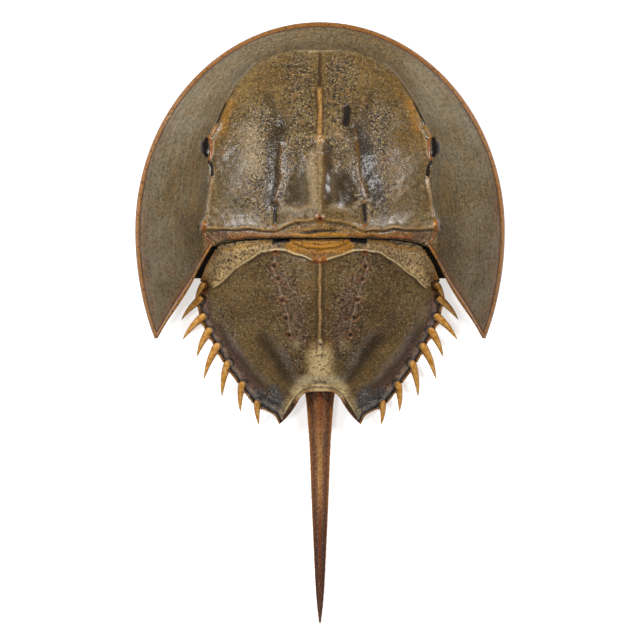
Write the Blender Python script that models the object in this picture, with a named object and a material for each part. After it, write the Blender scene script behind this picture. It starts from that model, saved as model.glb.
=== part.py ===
"""A horseshoe crab shell, dried whole: head shield, rear shield, tail spike and side spines.

The shell lies on its rim, back up. +Y is the head, -Y the tip of the tail, +Z up, and the
origin is under the middle of the whole outline. Lengths are worked in millimetres and
turned to metres where the meshes are made. Both halves of the animal mirror in X = 0.
"""

import math

import bmesh
import bpy
import numpy as np

MM = 0.001
SHARP_ANGLE = 32.0

# Head shield (prosoma), in plan: a half ellipse in front and part of a longer one behind
SHIELD_HALF_WIDTH = 123.33
SHIELD_FRONT = 139.0
SHIELD_REAR = 161.33
SHIELD_CENTRE_Y = 61.33
CHEEK_TIP_ANGLE = 116.6

# Head shield, in height
SHIELD_HEIGHT = 66.5
RIM_HEIGHT = 2.8
RIM_SHOULDER = 0.7
RIM_BEVEL = 0.9
RIM_BEVEL_LARGEST_SHARE = 0.12
WALL = 2.2
THINNEST_WALL = 0.6
STEEPEST_HEAD_WALL = 1.7
CAVITY_LEAST_SHARE = 0.35
BRIM_WIDTH = 8.0
BRIM_WIDER_IN_FRONT = 5.0
BRIM_WIDER_TO_ANGLE = 90.0
BRIM_LARGEST_SHARE = 0.62
FRONT_ARCH = 2.6
FRONT_ARCH_ANGLE = 38.0
DOME_POWER = 1.9
FLANGE_POWER = 1.12

# The eye ridge from the front of the dome to its spine, then the shoulder of the cheek:
# outline angle in degrees, X, Y
EYE_RIDGE = (
    (0, 0.0, 180.3), (14, 25.9, 178.5), (24, 43.7, 170.5), (34, 55.3, 158.0),
    (43, 62.5, 145.5), (52, 68.7, 132.1), (59, 74.1, 122.3), (64, 76.1, 116.0),
    (68, 75.0, 110.0), (72, 72.3, 104.7), (77, 71.4, 96.0), (86, 75.0, 74.0),
    (91, 77.1, 64.0), (95, 81.5, 49.5), (99, 87.5, 36.0), (104, 95.0, 20.5),
    (109, 101.5, 7.2), (113, 106.2, -2.4), (116.6, 109.2, -10.6),
)
EYE_RIDGE_END = 91

# The hinge edge from the middle out, then the rear edge of the cheek: angle, X, Y
REAR_EDGE = (
    (0, 0.0, 55.5), (14, 14.0, 55.9), (24, 27.0, 55.6), (34, 38.7, 55.4),
    (43, 46.7, 55.1), (52, 53.5, 54.3), (59, 58.7, 53.4), (64, 62.0, 52.8),
    (68, 64.7, 52.4), (72, 66.9, 51.6), (77, 69.4, 50.6), (82, 71.9, 50.2),
    (86, 74.3, 47.6), (91, 77.2, 43.3), (95, 80.5, 36.5), (99, 84.6, 27.0),
    (104, 90.6, 16.5), (109, 97.2, 7.0), (113, 103.0, -1.4), (116.6, 108.2, -10.4),
)
HINGE_END = 82

# Height of the eye ridge: its angle seen from the middle of the dome, Z
RIDGE_HEIGHTS = (
    (0, 17.0), (14, 17.5), (24, 19.0), (33, 22.0), (40, 26.0), (48, 30.0), (54, 34.0),
    (58, 36.0), (67, 39.5), (81, 42.0), (90, 43.0), (180, 44.0),
)

# Relief of the head shield: X, Y, half-length in X, half-length in Y, height
LATERAL_EYE = (76.3, 115.8, 3.4, 7.0, 2.6)
RIDGE_SPINE = (77.1, 64.0, 3.6, 5.0, 2.8)
MIDDLE_EYES = (0.0, 120.7, 3.6, 4.0, 1.5)
REAR_SPINE = (0.0, 68.1, 4.0, 4.5, 2.0)
KNOB_SPREAD = 1.6
MIDDLE_RIDGE_HEIGHT = 1.3
MIDDLE_RIDGE_WIDTH = 3.4
MIDDLE_RIDGE_SHARE = 0.8
EYE_RIDGE_HEIGHT = 1.0
REAR_BORDER_STEP = 1.3
# The long furrow beside the heart: X and Y of its points, front to rear
HEART_FURROW = ((25.0, 121.0), (25.0, 97.0), (29.0, 82.0), (29.8, 66.0))
HEART_FURROW_DEPTH = 2.4
HEART_FURROW_WIDTH = 4.2

# Mesh of the head shield: columns in one half, and the rows from the rear edge to the rim
SHIELD_COLUMNS = 36
DOME_ROWS = (1.0, 0.93, 0.86, 0.76, 0.66, 0.57, 0.48, 0.39, 0.3, 0.21, 0.12, 0.045, 0.0)
FLANGE_ROWS = (0.07, 0.3, 0.6, 0.88)
INNER_DOME_ROWS = (0.0, 0.16, 0.34, 0.56, 0.78, 0.93, 1.0)

# Rear shield (opisthosoma)
HINGE_GAP = 0.7
# Its side edge without the notches, from the hinge to the tip of the tail lobe: X, Y, Z
SIDE_EDGE = (
    (69.0, 48.6, 43.0), (72.5, 42.7, 37.0), (76.1, 36.9, 30.5), (78.8, 30.5, 24.0),
    (80.6, 22.0, 19.0), (81.3, 14.0, 17.0), (80.6, 6.0, 16.0), (77.9, -2.0, 15.5),
    (73.6, -10.0, 15.0), (68.2, -20.0, 14.3), (63.3, -29.0, 13.6), (57.0, -37.5, 12.8),
    (50.6, -46.3, 12.0), (44.2, -54.0, 11.2), (36.2, -58.6, 10.2), (30.2, -62.2, 9.4),
    (27.2, -68.0, 8.6),
)
# Its rear edge from the tip of the lobe in, over the tail: share across, X, Y
TAIL_EDGE = (
    (1.0, 27.2, -68.0), (0.86, 23.6, -65.2), (0.72, 19.8, -61.0), (0.58, 16.8, -56.4),
    (0.44, 13.4, -50.0), (0.32, 11.9, -46.2), (0.16, 6.6, -44.3), (0.0, 0.0, -44.0),
)
# Its middle line: share of the way from the hinge to the tail, Z
MIDDLE_HEIGHTS = (
    (0.0, 62.5), (0.15, 61.0), (0.35, 56.5), (0.55, 49.5), (0.75, 39.0), (1.0, 25.0),
)
SIDE_FALL_POWER = 1.75
REAR_WALL = 2.2
NOTCH_DEPTH = 2.6
NOTCH_HALF_WIDTH = 3.2
NOTCH_FROM = 0.84
NOTCH_SHIFT = 0.4
# The tooth behind each notch: how far back in half-widths of the notch, half-width, height
TOOTH_BACK = 1.25
TOOTH_HALF_WIDTH = 2.4
TOOTH_HEIGHT = 0.9
KEEL_HEIGHT = 1.1
KEEL_WIDTH = 3.0
MUSCLE_PITS = (
    (29.5, 46.5), (30.2, 37.1), (27.8, 28.3), (24.8, 14.3), (22.4, 2.4), (19.7, -8.5),
)
PIT_DEPTH = 2.0
PIT_RADIUS = 3.2
# The pale crest across the front of the rear shield: X, Y
CREST = (
    (0.0, 41.0), (5.4, 41.4), (12.2, 44.0), (22.4, 47.6), (29.5, 48.2), (39.4, 46.6),
    (48.1, 40.7), (54.5, 36.9), (60.8, 31.5), (70.3, 23.3),
)
CREST_HEIGHT = 1.4
CREST_WIDTH = 3.0
# Its mesh: columns of one half, then rows as shares of the edge before the first spine, at
# each notch in half-widths of the notch, and as a share of what follows the last notch
REAR_COLUMNS = (0.0, 0.07, 0.16, 0.26, 0.36, 0.46, 0.58, 0.71, 0.85, 1.0)
ROWS_BEFORE_SPINES = (0.0, 0.3, 0.6)
ROWS_AT_NOTCH = (-1.0, -0.3, 0.6, 1.25)
ROW_IN_LOBE = 0.55

# Side spines, from the front one back: X, Y at the root, X, Y at the tip, radius, slope down
SPINES = (
    (77.6, 24.6, 82.8, 12.7, 2.1, 0.07), (79.3, 15.2, 91.7, 2.4, 2.5, 0.16),
    (77.3, 3.8, 91.1, -11.0, 2.6, 0.16), (73.2, -5.4, 81.7, -22.3, 2.7, 0.16),
    (67.8, -15.6, 77.1, -37.3, 2.7, 0.16), (60.6, -27.0, 65.2, -48.9, 2.7, 0.16),
    (51.3, -41.1, 52.9, -58.7, 2.5, 0.16), (41.2, -53.2, 40.7, -67.5, 2.3, 0.16),
)
SPINE_CLEARANCE = 0.8
SPINE_FLATNESS = 0.8
SPINE_SIDES = 6
# Profile of a spine: share of the length, share of the radius
SPINE_PROFILE = ((0.0, 0.55), (0.06, 0.95), (0.17, 1.0), (0.32, 0.72), (0.7, 0.4), (1.0, 0.09))

# Tail spike (telson)
TAIL_ROOT_Y = -40.5
TAIL_TIP_Y = -200.33
TAIL_ROOT_Z = 13.6
TAIL_TIP_Z = 1.0
# Half-width along the spike: Y, half-width
TAIL_HALF_WIDTHS = (
    (-40.5, 7.2), (-46.0, 8.9), (-52.0, 9.3), (-60.0, 8.9), (-76.0, 7.7), (-96.0, 6.6),
    (-122.0, 5.5), (-150.0, 4.2), (-172.0, 3.3), (-186.0, 2.2), (-195.0, 1.3),
    (-200.33, 0.55),
)
# Cross-section of the spike round from its keel: share of the half-width, share of the height
TAIL_SECTION = (
    (0.0, 0.62), (0.34, 0.34), (0.78, -0.02), (1.0, -0.2), (0.74, -0.42), (0.3, -0.5),
    (0.0, -0.44),
)
TAIL_HEIGHT_TO_HALF_WIDTH = 1.28

# The dark skin in the joint, under the hinge and the slits beside it
SKIN_THICKNESS = 1.1
SKIN_CLEARANCE = 2.8
SKIN_REACH = 4.5
SKIN_INSET = 0.93
SKIN_START = 0.2
SKIN_LIP = 0.4
STEEPEST_WALL = 2.0
SKIN_BACK = 0.045
# The slit beside the hinge: share along the rear shield's side, angle on the head's rear edge
SKIN_SLIT = ((0.135, 96.5), (0.09, 92.0), (0.045, 87.0), (0.0, 81.0))

# The dark skin that closes the rear shield in front of the tail's root, a half-moon
TAIL_SKIN_BACK = 0.955
TAIL_SKIN_THICKNESS = 1.2
TAIL_SKIN_CLEARANCE = 3.6
TAIL_SKIN_LOWEST = 6.0
TAIL_SKIN_ACROSS = (0.0, 0.06, 0.12, 0.18, 0.24, 0.28, 0.3)

# Colours and roughness
HEAD_SHIELD_LOOK = ((0.15, 0.1, 0.055), 0.35)
REAR_SHIELD_LOOK = ((0.11, 0.07, 0.04), 0.35)
TAIL_LOOK = ((0.2, 0.09, 0.05), 0.32)
SPINE_LOOK = ((0.62, 0.34, 0.1), 0.35)
SKIN_LOOK = ((0.02, 0.015, 0.012), 0.6)


def smooth_through(stations, at):
    """Values at the places `at` on a cubic through the stations (key, value, ...)."""
    table = np.asarray(stations, float)
    keys, values = table[:, 0], table[:, 1:]
    slopes = np.gradient(values, keys, axis=0)
    at = np.clip(np.asarray(at, float), keys[0], keys[-1])
    left = np.clip(np.searchsorted(keys, at, side="right") - 1, 0, len(keys) - 2)
    width = (keys[left + 1] - keys[left])[..., None]
    share = (at - keys[left])[..., None] / width
    near = (1 + 2 * share) * (1 - share) ** 2 * values[left]
    far = share**2 * (3 - 2 * share) * values[left + 1]
    turn = share * (1 - share) ** 2 * slopes[left] - share**2 * (1 - share) * slopes[left + 1]
    return near + far + turn * width


def mirrored(stations):
    """Stations (key, X, Y, ...) of the +X half, with those of the -X half in front."""
    other = [(-key, -x, *rest) for key, x, *rest in reversed(stations) if key > 0]
    return other + [tuple(station) for station in stations]


def hump(distance, width):
    """A smooth rise that is 1 at no distance and 0 from `width` on."""
    share = np.clip(1 - (distance / width) ** 2, 0, 1)
    return share**2


def distance_to_path(x, y, path):
    """Shortest distance in plan from the points to a path of straight runs."""
    best = np.full(np.shape(x), np.inf)
    for (ax, ay), (bx, by) in zip(path, path[1:]):
        run = np.hypot(bx - ax, by - ay) ** 2
        share = np.clip(((x - ax) * (bx - ax) + (y - ay) * (by - ay)) / run, 0, 1)
        gap = np.hypot(x - ax - share * (bx - ax), y - ay - share * (by - ay))
        best = np.minimum(best, gap)
    return best


def knob(x, y, spec):
    """A low rounded knob at its place in both halves."""
    px, py, half_x, half_y, height = spec
    reach = np.sqrt(((np.abs(x) - px) / half_x) ** 2 + ((y - py) / half_y) ** 2)
    return height * hump(reach, KNOB_SPREAD)


def shield_outline(angle):
    """X and Y of the head shield's outline at an angle in degrees from the front."""
    turn = np.radians(angle)
    depth = np.where(np.abs(angle) > 90, SHIELD_REAR, SHIELD_FRONT)
    return SHIELD_HALF_WIDTH * np.sin(turn), SHIELD_CENTRE_Y + depth * np.cos(turn)


def in_outline(x, y):
    """Share of the way from the middle to the outline, and the angle in degrees."""
    up = y - SHIELD_CENTRE_Y
    along = up / np.where(up < 0, SHIELD_REAR, SHIELD_FRONT)
    across = np.abs(x) / SHIELD_HALF_WIDTH
    return np.hypot(across, along), np.degrees(np.arctan2(across, along))


def ridge_places():
    """Angle and share of the eye ridge's points, as in_outline measures them."""
    points = np.array([(x, y) for key, x, y in EYE_RIDGE if key <= EYE_RIDGE_END])
    share, angle = in_outline(points[:, 0], points[:, 1])
    return angle, share


def front_arch(angle):
    """How far the rim lifts off the ground in front."""
    return FRONT_ARCH * hump(np.abs(angle), FRONT_ARCH_ANGLE)


def shield_form(x, y):
    """Height of the head shield without its relief."""
    share, angle = in_outline(x, y)
    ridge_angle, ridge_share = ridge_places()
    at_ridge = np.interp(angle, ridge_angle, ridge_share)
    heights = np.array(RIDGE_HEIGHTS)
    ridge_z = np.interp(angle, heights[:, 0], heights[:, 1])
    rim_z = RIM_HEIGHT + front_arch(angle)
    dome = SHIELD_HEIGHT - (SHIELD_HEIGHT - ridge_z) * (share / at_ridge) ** DOME_POWER
    out = np.clip((share - at_ridge) / (1 - at_ridge), 0, 1)
    flange = rim_z + (ridge_z - rim_z) * (1 - out**FLANGE_POWER)
    return np.where(share < at_ridge, dome, flange)


def shield_relief(x, y):
    """Eyes, spines, ridges and furrows of the head shield, as a change of height."""
    relief = sum(knob(x, y, spec) for spec in (LATERAL_EYE, RIDGE_SPINE, MIDDLE_EYES, REAR_SPINE))
    ridge_end = SHIELD_CENTRE_Y + MIDDLE_RIDGE_SHARE * SHIELD_FRONT
    on_axis = hump(x, MIDDLE_RIDGE_WIDTH) * (y < ridge_end)
    furrow = hump(distance_to_path(np.abs(x), y, HEART_FURROW), HEART_FURROW_WIDTH)
    return relief + MIDDLE_RIDGE_HEIGHT * on_axis - HEART_FURROW_DEPTH * furrow


def head_wall(x, y):
    """Height of the head shield's wall, taken upright: longer where the shield is steep."""
    step = 0.5
    slope_x = (shield_form(x + step, y) - shield_form(x - step, y)) / (2 * step)
    slope_y = (shield_form(x, y + step) - shield_form(x, y - step)) / (2 * step)
    steepness = np.sqrt(1 + slope_x**2 + slope_y**2)
    return WALL * np.minimum(steepness, STEEPEST_HEAD_WALL)


def between(start, end, share):
    """A point part of the way between two plan points."""
    return start[0] + (end[0] - start[0]) * share, start[1] + (end[1] - start[1]) * share


def shield_ring(angles):
    """Rows of points round the wall of the head shield, from the hinge over the rim and back."""
    outline = shield_outline(angles)
    ridge = smooth_through(mirrored(EYE_RIDGE), angles).T
    edge = smooth_through(mirrored(REAR_EDGE), angles).T
    width = np.hypot(outline[0] - ridge[0], outline[1] - ridge[1])
    arch = front_arch(angles)
    rows = []
    for share in DOME_ROWS:
        x, y = between(ridge, edge, share)
        z = shield_form(x, y) + shield_relief(x, y)
        if share == 0.0:
            z = z + EYE_RIDGE_HEIGHT * (np.abs(angles) < EYE_RIDGE_END)
        if share == 1.0:
            z = z - REAR_BORDER_STEP * (np.abs(angles) < EYE_RIDGE_END)
        rows.append((x, y, z))
    for share in FLANGE_ROWS:
        x, y = between(ridge, outline, share)
        rows.append((x, y, shield_form(x, y) + shield_relief(x, y)))
    rows.append((*outline, RIM_HEIGHT * RIM_SHOULDER + arch))
    wanted = BRIM_WIDTH + BRIM_WIDER_IN_FRONT * hump(np.abs(angles), BRIM_WIDER_TO_ANGLE)
    brim = np.minimum(wanted / width, BRIM_LARGEST_SHARE)
    x, y = between(outline, ridge, np.minimum(RIM_BEVEL / width, RIM_BEVEL_LARGEST_SHARE))
    rows.append((x, y, arch))
    x, y = between(outline, ridge, brim)
    rows.append((x, y, arch))
    inner = [(outline, ridge, brim), (outline, ridge, 0.5 + 0.5 * brim)]
    inner += [(ridge, edge, share) for share in INNER_DOME_ROWS]
    for start, end, share in inner:
        x, y = between(start, end, share)
        form = shield_form(x, y)
        lowest = np.minimum(arch + CAVITY_LEAST_SHARE * form, form - THINNEST_WALL)
        z = np.maximum(form - head_wall(x, y), lowest)
        if start is ridge:
            # The heart furrow also shows inside, so that the wall keeps its thickness there
            z = z + np.minimum(shield_relief(x, y), 0)
        rows.append((x, y, z))
    return rows


def grid_mesh(points, close_rows):
    """A bmesh grid whose vertices take the places points[row][column], in metres."""
    table = np.asarray(points, float) * MM
    rows, columns = table.shape[:2]
    bm = bmesh.new()
    bmesh.ops.create_grid(bm, x_segments=columns - 1, y_segments=rows - 1, size=0.5)
    for vert in bm.verts:
        column = round((vert.co.x + 0.5) * (columns - 1))
        row = round((vert.co.y + 0.5) * (rows - 1))
        vert.co = table[row][column]
    if close_rows:
        bmesh.ops.remove_doubles(bm, verts=bm.verts, dist=1e-7)
        open_edges = [edge for edge in bm.edges if edge.is_boundary]
        bmesh.ops.holes_fill(bm, edges=open_edges, sides=0)
    return bm


def finish(bm, name, look, wall_thickness=None):
    """Turns a bmesh into a named object with its own material, shaded smooth."""
    colour, roughness = look
    bmesh.ops.recalc_face_normals(bm, faces=bm.faces)
    mesh = bpy.data.meshes.new(name)
    bm.to_mesh(mesh)
    bm.free()
    mesh.shade_smooth()
    mesh.set_sharp_from_angle(angle=math.radians(SHARP_ANGLE))
    thing = bpy.data.objects.new(name, mesh)
    bpy.context.scene.collection.objects.link(thing)
    if wall_thickness:
        wall = thing.modifiers.new("Wall", "SOLIDIFY")
        wall.thickness = wall_thickness * MM
        wall.offset = -1.0
    material = bpy.data.materials.new(name)
    material.use_nodes = True
    shader = material.node_tree.nodes["Principled BSDF"]
    shader.inputs["Base Color"].default_value = (*colour, 1.0)
    shader.inputs["Roughness"].default_value = roughness
    shader.inputs["Metallic"].default_value = 0.0
    mesh.materials.append(material)
    return thing


def build_head_shield():
    """The prosoma: a vaulted shield with a flat brim, hollow beneath."""
    angles = np.linspace(-CHEEK_TIP_ANGLE, CHEEK_TIP_ANGLE, 2 * SHIELD_COLUMNS + 1)
    rows = shield_ring(angles)
    rows.append(rows[0])
    points = [np.stack(row, axis=-1) for row in rows]
    bm = grid_mesh(points, close_rows=True)
    return finish(bm, "prosoma", HEAD_SHIELD_LOOK)


def hinge_edge_y(x):
    """Y of the head shield's hinge edge at a given X."""
    edge = np.array([(x_at, y_at) for key, x_at, y_at in REAR_EDGE if key <= HINGE_END])
    return np.interp(np.abs(x), edge[:, 0], edge[:, 1])


def side_edge(share):
    """X, Y, Z of the plain side edge of the rear shield, by share of its length."""
    table = np.array(SIDE_EDGE)
    runs = np.hypot(*np.diff(table[:, :2], axis=0).T)
    along = np.concatenate([[0], np.cumsum(runs)])
    stations = np.column_stack([along / along[-1], table])
    return smooth_through(stations, share)


def edge_length():
    """Length of the plain side edge in plan."""
    table = np.array(SIDE_EDGE)
    return float(np.hypot(*np.diff(table[:, :2], axis=0).T).sum())


def spine_places():
    """Share of the side edge's length at which each spine has its root."""
    shares = np.linspace(0, 1, 801)
    edge = side_edge(shares)
    return [
        float(shares[np.argmin(np.hypot(edge[:, 0] - root_x, edge[:, 1] - root_y))])
        for root_x, root_y, *_ in SPINES
    ]


def rear_rows():
    """Shares of the side edge at which the rear shield has its rows of points."""
    half = NOTCH_HALF_WIDTH / edge_length()
    places = spine_places()
    rows = [places[0] * share for share in ROWS_BEFORE_SPINES]
    rows += [place + half * off for place in places for off in ROWS_AT_NOTCH]
    last = rows[-1]
    rows += [last + (1 - last) * ROW_IN_LOBE, 1.0]
    return np.array(rows)


def notches(share):
    """X and Y by which the side edge moves: in at each spine, out at the tooth behind it."""
    step = 1e-3
    ahead = side_edge(np.minimum(share + step, 1)) - side_edge(np.maximum(share - step, 0))
    ahead = ahead[:, :2] / np.linalg.norm(ahead[:, :2], axis=1)[:, None]
    outward = np.column_stack([-ahead[:, 1], ahead[:, 0]])
    outward = outward * np.sign(outward[:, :1] + 1e-9)
    push = np.zeros(len(share))
    for place in spine_places():
        off = (share - place) * edge_length()
        push -= NOTCH_DEPTH * hump(off - NOTCH_SHIFT, NOTCH_HALF_WIDTH)
        push += TOOTH_HEIGHT * hump(off - TOOTH_BACK * NOTCH_HALF_WIDTH, TOOTH_HALF_WIDTH)
    return outward * push[:, None]


def rear_form(share_back, share_across, side_z):
    """Height of the rear shield from its middle line down to its side edge."""
    middle = smooth_through(MIDDLE_HEIGHTS, share_back)[..., 0]
    return side_z + (middle - side_z) * (1 - np.abs(share_across) ** SIDE_FALL_POWER)


def rear_relief(x, y):
    """Keel, crest and muscle pits of the rear shield, as a change of height."""
    relief = KEEL_HEIGHT * hump(x, KEEL_WIDTH)
    relief = relief + CREST_HEIGHT * hump(distance_to_path(np.abs(x), y, CREST), CREST_WIDTH)
    for pit_x, pit_y in MUSCLE_PITS:
        relief = relief - PIT_DEPTH * hump(np.hypot(np.abs(x) - pit_x, y - pit_y), PIT_RADIUS)
    return relief


def rear_place(back, across, side):
    """X, Y, Z of the rear shield at shares back and across, its side edge being at `side`."""
    front = side_edge(np.zeros(1))[0]
    tail = smooth_through(sorted(TAIL_EDGE), np.abs(across))
    hinge_x = front[0] * across
    hinge_y = np.where(np.abs(across) > 0.999, front[1], hinge_edge_y(hinge_x) - HINGE_GAP)
    lobe_x, lobe_y = TAIL_EDGE[0][1:]
    x = (1 - back) * hinge_x + back * tail[:, 0] * np.sign(across) + side[0] * across
    x = x - ((1 - back) * front[0] + back * lobe_x) * across
    y = (1 - back) * hinge_y + back * tail[:, 1] + side[1]
    y = y - ((1 - back) * front[1] + back * lobe_y)
    return x, y, rear_form(np.full(np.shape(across), back), across, side[2])


def rear_points():
    """Points of the rear shield's upper face, row by row from the hinge to the tail."""
    back = rear_rows()
    across = np.array([-t for t in reversed(REAR_COLUMNS) if t] + list(REAR_COLUMNS))
    at_edge = np.clip((np.abs(across) - NOTCH_FROM) / (1 - NOTCH_FROM), 0, 1)
    rows = []
    for share, side, push in zip(back, side_edge(back), notches(back)):
        x, y, z = rear_place(share, across, side)
        x = x + push[0] * at_edge * np.sign(across)
        y = y + push[1] * at_edge
        rows.append(np.column_stack([x, y, z + rear_relief(x, y)]))
    return rows


def build_rear_shield():
    """The opisthosoma: a vaulted plate with notched sides and two tail lobes."""
    bm = grid_mesh(rear_points(), close_rows=False)
    bmesh.ops.recalc_face_normals(bm, faces=bm.faces)
    middle = max(bm.faces, key=lambda face: face.calc_area())
    if middle.normal.z < 0:
        bmesh.ops.reverse_faces(bm, faces=bm.faces)
    return finish(bm, "opisthosoma", REAR_SHIELD_LOOK, wall_thickness=REAR_WALL)


def swept(path, sections):
    """A bmesh tube: sections are rings of points, given as offsets from each path point."""
    rows = [[np.add(centre, offset) for offset in ring] for centre, ring in zip(path, sections)]
    points = np.array(rows).transpose(1, 0, 2)
    closed = np.concatenate([points, points[:1]])
    return grid_mesh(closed, close_rows=True)


def build_spine(side, number, spec):
    """One movable spine, a bulb that runs out into a point, in its notch."""
    root_x, root_y, tip_x, tip_y, radius, slope = spec
    place = spine_places()[number - 1]
    edge_z = side_edge(np.array([place]))[0, 2]
    root_z = edge_z - REAR_WALL - SPINE_FLATNESS * radius - SPINE_CLEARANCE
    run = np.array([tip_x - root_x, tip_y - root_y])
    length = float(np.hypot(*run))
    ahead = run / length
    start = np.array([root_x, root_y])
    path, sections = [], []
    for share, width in SPINE_PROFILE:
        flat = start + ahead * share * length
        path.append((side * flat[0], flat[1], root_z - slope * share * length))
        ring = []
        for corner in range(SPINE_SIDES):
            turn = 2 * math.pi * corner / SPINE_SIDES
            out = math.cos(turn) * radius * width
            rise = math.sin(turn) * radius * width * SPINE_FLATNESS
            ring.append((side * out * ahead[1], -out * ahead[0], rise))
        sections.append(ring)
    bm = swept(path, sections)
    name = f"marginal_spine_{'right' if side > 0 else 'left'}_{number}"
    return finish(bm, name, SPINE_LOOK)


def build_tail():
    """The telson: a three-sided spike with a keel along its back."""
    half_section = list(TAIL_SECTION)
    section = half_section + [(-x, z) for x, z in reversed(half_section[1:-1])]
    stations = sorted(TAIL_HALF_WIDTHS)
    path, sections = [], []
    for y, half_width in reversed(stations):
        share = (TAIL_ROOT_Y - y) / (TAIL_ROOT_Y - TAIL_TIP_Y)
        height = TAIL_HEIGHT_TO_HALF_WIDTH * half_width
        centre_z = max(TAIL_ROOT_Z * (1 - share) + TAIL_TIP_Z * share, height / 2)
        path.append((0.0, y, centre_z))
        sections.append([(x * half_width, 0.0, z * height) for x, z in section])
    return finish(swept(path, sections), "telson", TAIL_LOOK)


def under_head(x, y):
    """Height just under the inner face of the head shield."""
    return shield_form(x, y) - head_wall(x, y) - SKIN_CLEARANCE


def skin_column(back, across, edge_point):
    """Four points across the joint's skin: two under the rear shield, two under the head's."""
    side = side_edge(np.array([back]))[0]
    deeper = (back, across * SKIN_INSET) if back > 0 else (SKIN_BACK, across)
    deep_side = side_edge(np.array([deeper[0]]))[0]
    below = REAR_WALL * STEEPEST_WALL + SKIN_CLEARANCE
    inside = np.array(rear_place(deeper[0], np.array([deeper[1]]), deep_side))[:, 0]
    at_edge = np.array(rear_place(back, np.array([across]), side))[:, 0]
    ahead = np.subtract(edge_point, at_edge[:2])
    ahead = ahead / np.hypot(*ahead)
    start = at_edge[:2] + ahead * SKIN_START
    lip = np.add(edge_point, ahead * SKIN_LIP)
    deep = np.add(edge_point, ahead * SKIN_REACH)
    dip = [min(float(rear_relief(*place[:2])), 0.0) for place in (inside, at_edge)]
    return [
        (*inside[:2], inside[2] + dip[0] - below),
        (*start, at_edge[2] + dip[1] - below),
        (*lip, float(under_head(*lip))),
        (*deep, float(under_head(*deep))),
    ]


def build_joint_skin():
    """The dark leathery skin that closes the hinge and the slit on each side of it."""
    columns = []
    for back, angle in SKIN_SLIT:
        edge_point = smooth_through(REAR_EDGE, np.array([angle]))[0]
        columns.append(skin_column(back, 1.0, edge_point))
    for across in reversed(REAR_COLUMNS[:-1]):
        x = side_edge(np.zeros(1))[0, 0] * across
        columns.append(skin_column(0.0, across, (x, float(hinge_edge_y(x)))))
    other = [[(-x, y, z) for x, y, z in column] for column in reversed(columns[:-1])]
    points = np.array(columns + other)
    lower = points[:, ::-1] - (0.0, 0.0, SKIN_THICKNESS)
    rings = np.concatenate([points, lower], axis=1).transpose(1, 0, 2)
    bm = grid_mesh(np.concatenate([rings, rings[:1]]), close_rows=True)
    return finish(bm, "joint_skin", SKIN_LOOK)


def build_tail_skin():
    """The half-moon of skin in front of the tail's root, under the rear shield's tail edge."""
    side = side_edge(np.array([TAIL_SKIN_BACK]))[0]
    across = np.array([-t for t in reversed(TAIL_SKIN_ACROSS) if t] + list(TAIL_SKIN_ACROSS))
    x, y, z = rear_place(TAIL_SKIN_BACK, across, side)
    top = z - TAIL_SKIN_CLEARANCE
    drop = top.max() - TAIL_SKIN_LOWEST
    fall = np.sqrt(1 - (across / max(TAIL_SKIN_ACROSS)) ** 2)
    bottom = top - THINNEST_WALL - drop * fall
    half = TAIL_SKIN_THICKNESS / 2
    corners = ((half, 0.0), (half, 0.5), (half, 1.0), (-half, 1.0), (-half, 0.5), (-half, 0.0))
    rings = [np.column_stack([x, y + off, top + (bottom - top) * share]) for off, share in corners]
    bm = grid_mesh(rings + rings[:1], close_rows=True)
    return finish(bm, "tail_skin", SKIN_LOOK)


def clear_scene():
    """Removes what the scene holds."""
    for thing in list(bpy.data.objects):
        bpy.data.objects.remove(thing, do_unlink=True)


def main():
    """Builds every piece."""
    clear_scene()
    build_head_shield()
    build_rear_shield()
    build_tail()
    build_joint_skin()
    build_tail_skin()
    for number, spec in enumerate(SPINES, 1):
        for side in (1, -1):
            build_spine(side, number, spec)


main()
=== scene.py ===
import logging
import math
from collections.abc import Sequence
from dataclasses import dataclass
from enum import Enum
from typing import Any

import bmesh
import bpy
import numpy as np
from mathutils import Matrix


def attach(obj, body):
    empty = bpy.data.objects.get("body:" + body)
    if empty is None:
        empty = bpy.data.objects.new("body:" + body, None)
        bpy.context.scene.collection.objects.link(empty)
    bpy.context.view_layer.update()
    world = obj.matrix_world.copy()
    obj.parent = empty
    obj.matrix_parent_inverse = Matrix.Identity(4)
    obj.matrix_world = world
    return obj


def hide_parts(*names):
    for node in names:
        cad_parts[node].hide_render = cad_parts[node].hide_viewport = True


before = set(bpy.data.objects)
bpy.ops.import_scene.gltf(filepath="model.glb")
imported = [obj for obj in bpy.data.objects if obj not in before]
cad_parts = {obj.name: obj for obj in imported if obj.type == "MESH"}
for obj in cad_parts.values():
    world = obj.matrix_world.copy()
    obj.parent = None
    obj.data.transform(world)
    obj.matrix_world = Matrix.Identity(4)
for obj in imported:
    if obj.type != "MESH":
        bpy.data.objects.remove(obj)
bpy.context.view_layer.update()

LOG = logging.getLogger("shell")
MM = 0.001

Array = np.ndarray
Pair = tuple[float, float]
Triple = tuple[float, float, float]
Point = tuple[float, float]
Place = tuple[float, float, float]
Colour = tuple[float, float, float]


class Tint(Enum):
    """What colours a mark on the shell."""

    GOLD = "gold"
    AMBER = "amber"
    PALE = "pale"
    DARK = "dark"
    BLUSH = "blush"
    SLATE = "slate"
    ASH = "ash"
    GLOSS = "gloss"
    PITTED = "pitted"


class Side(Enum):
    """The half of the animal that a mark lies on, seen from above with the head up."""

    BOTH = 0
    LEFT = -1
    RIGHT = 1


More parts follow.
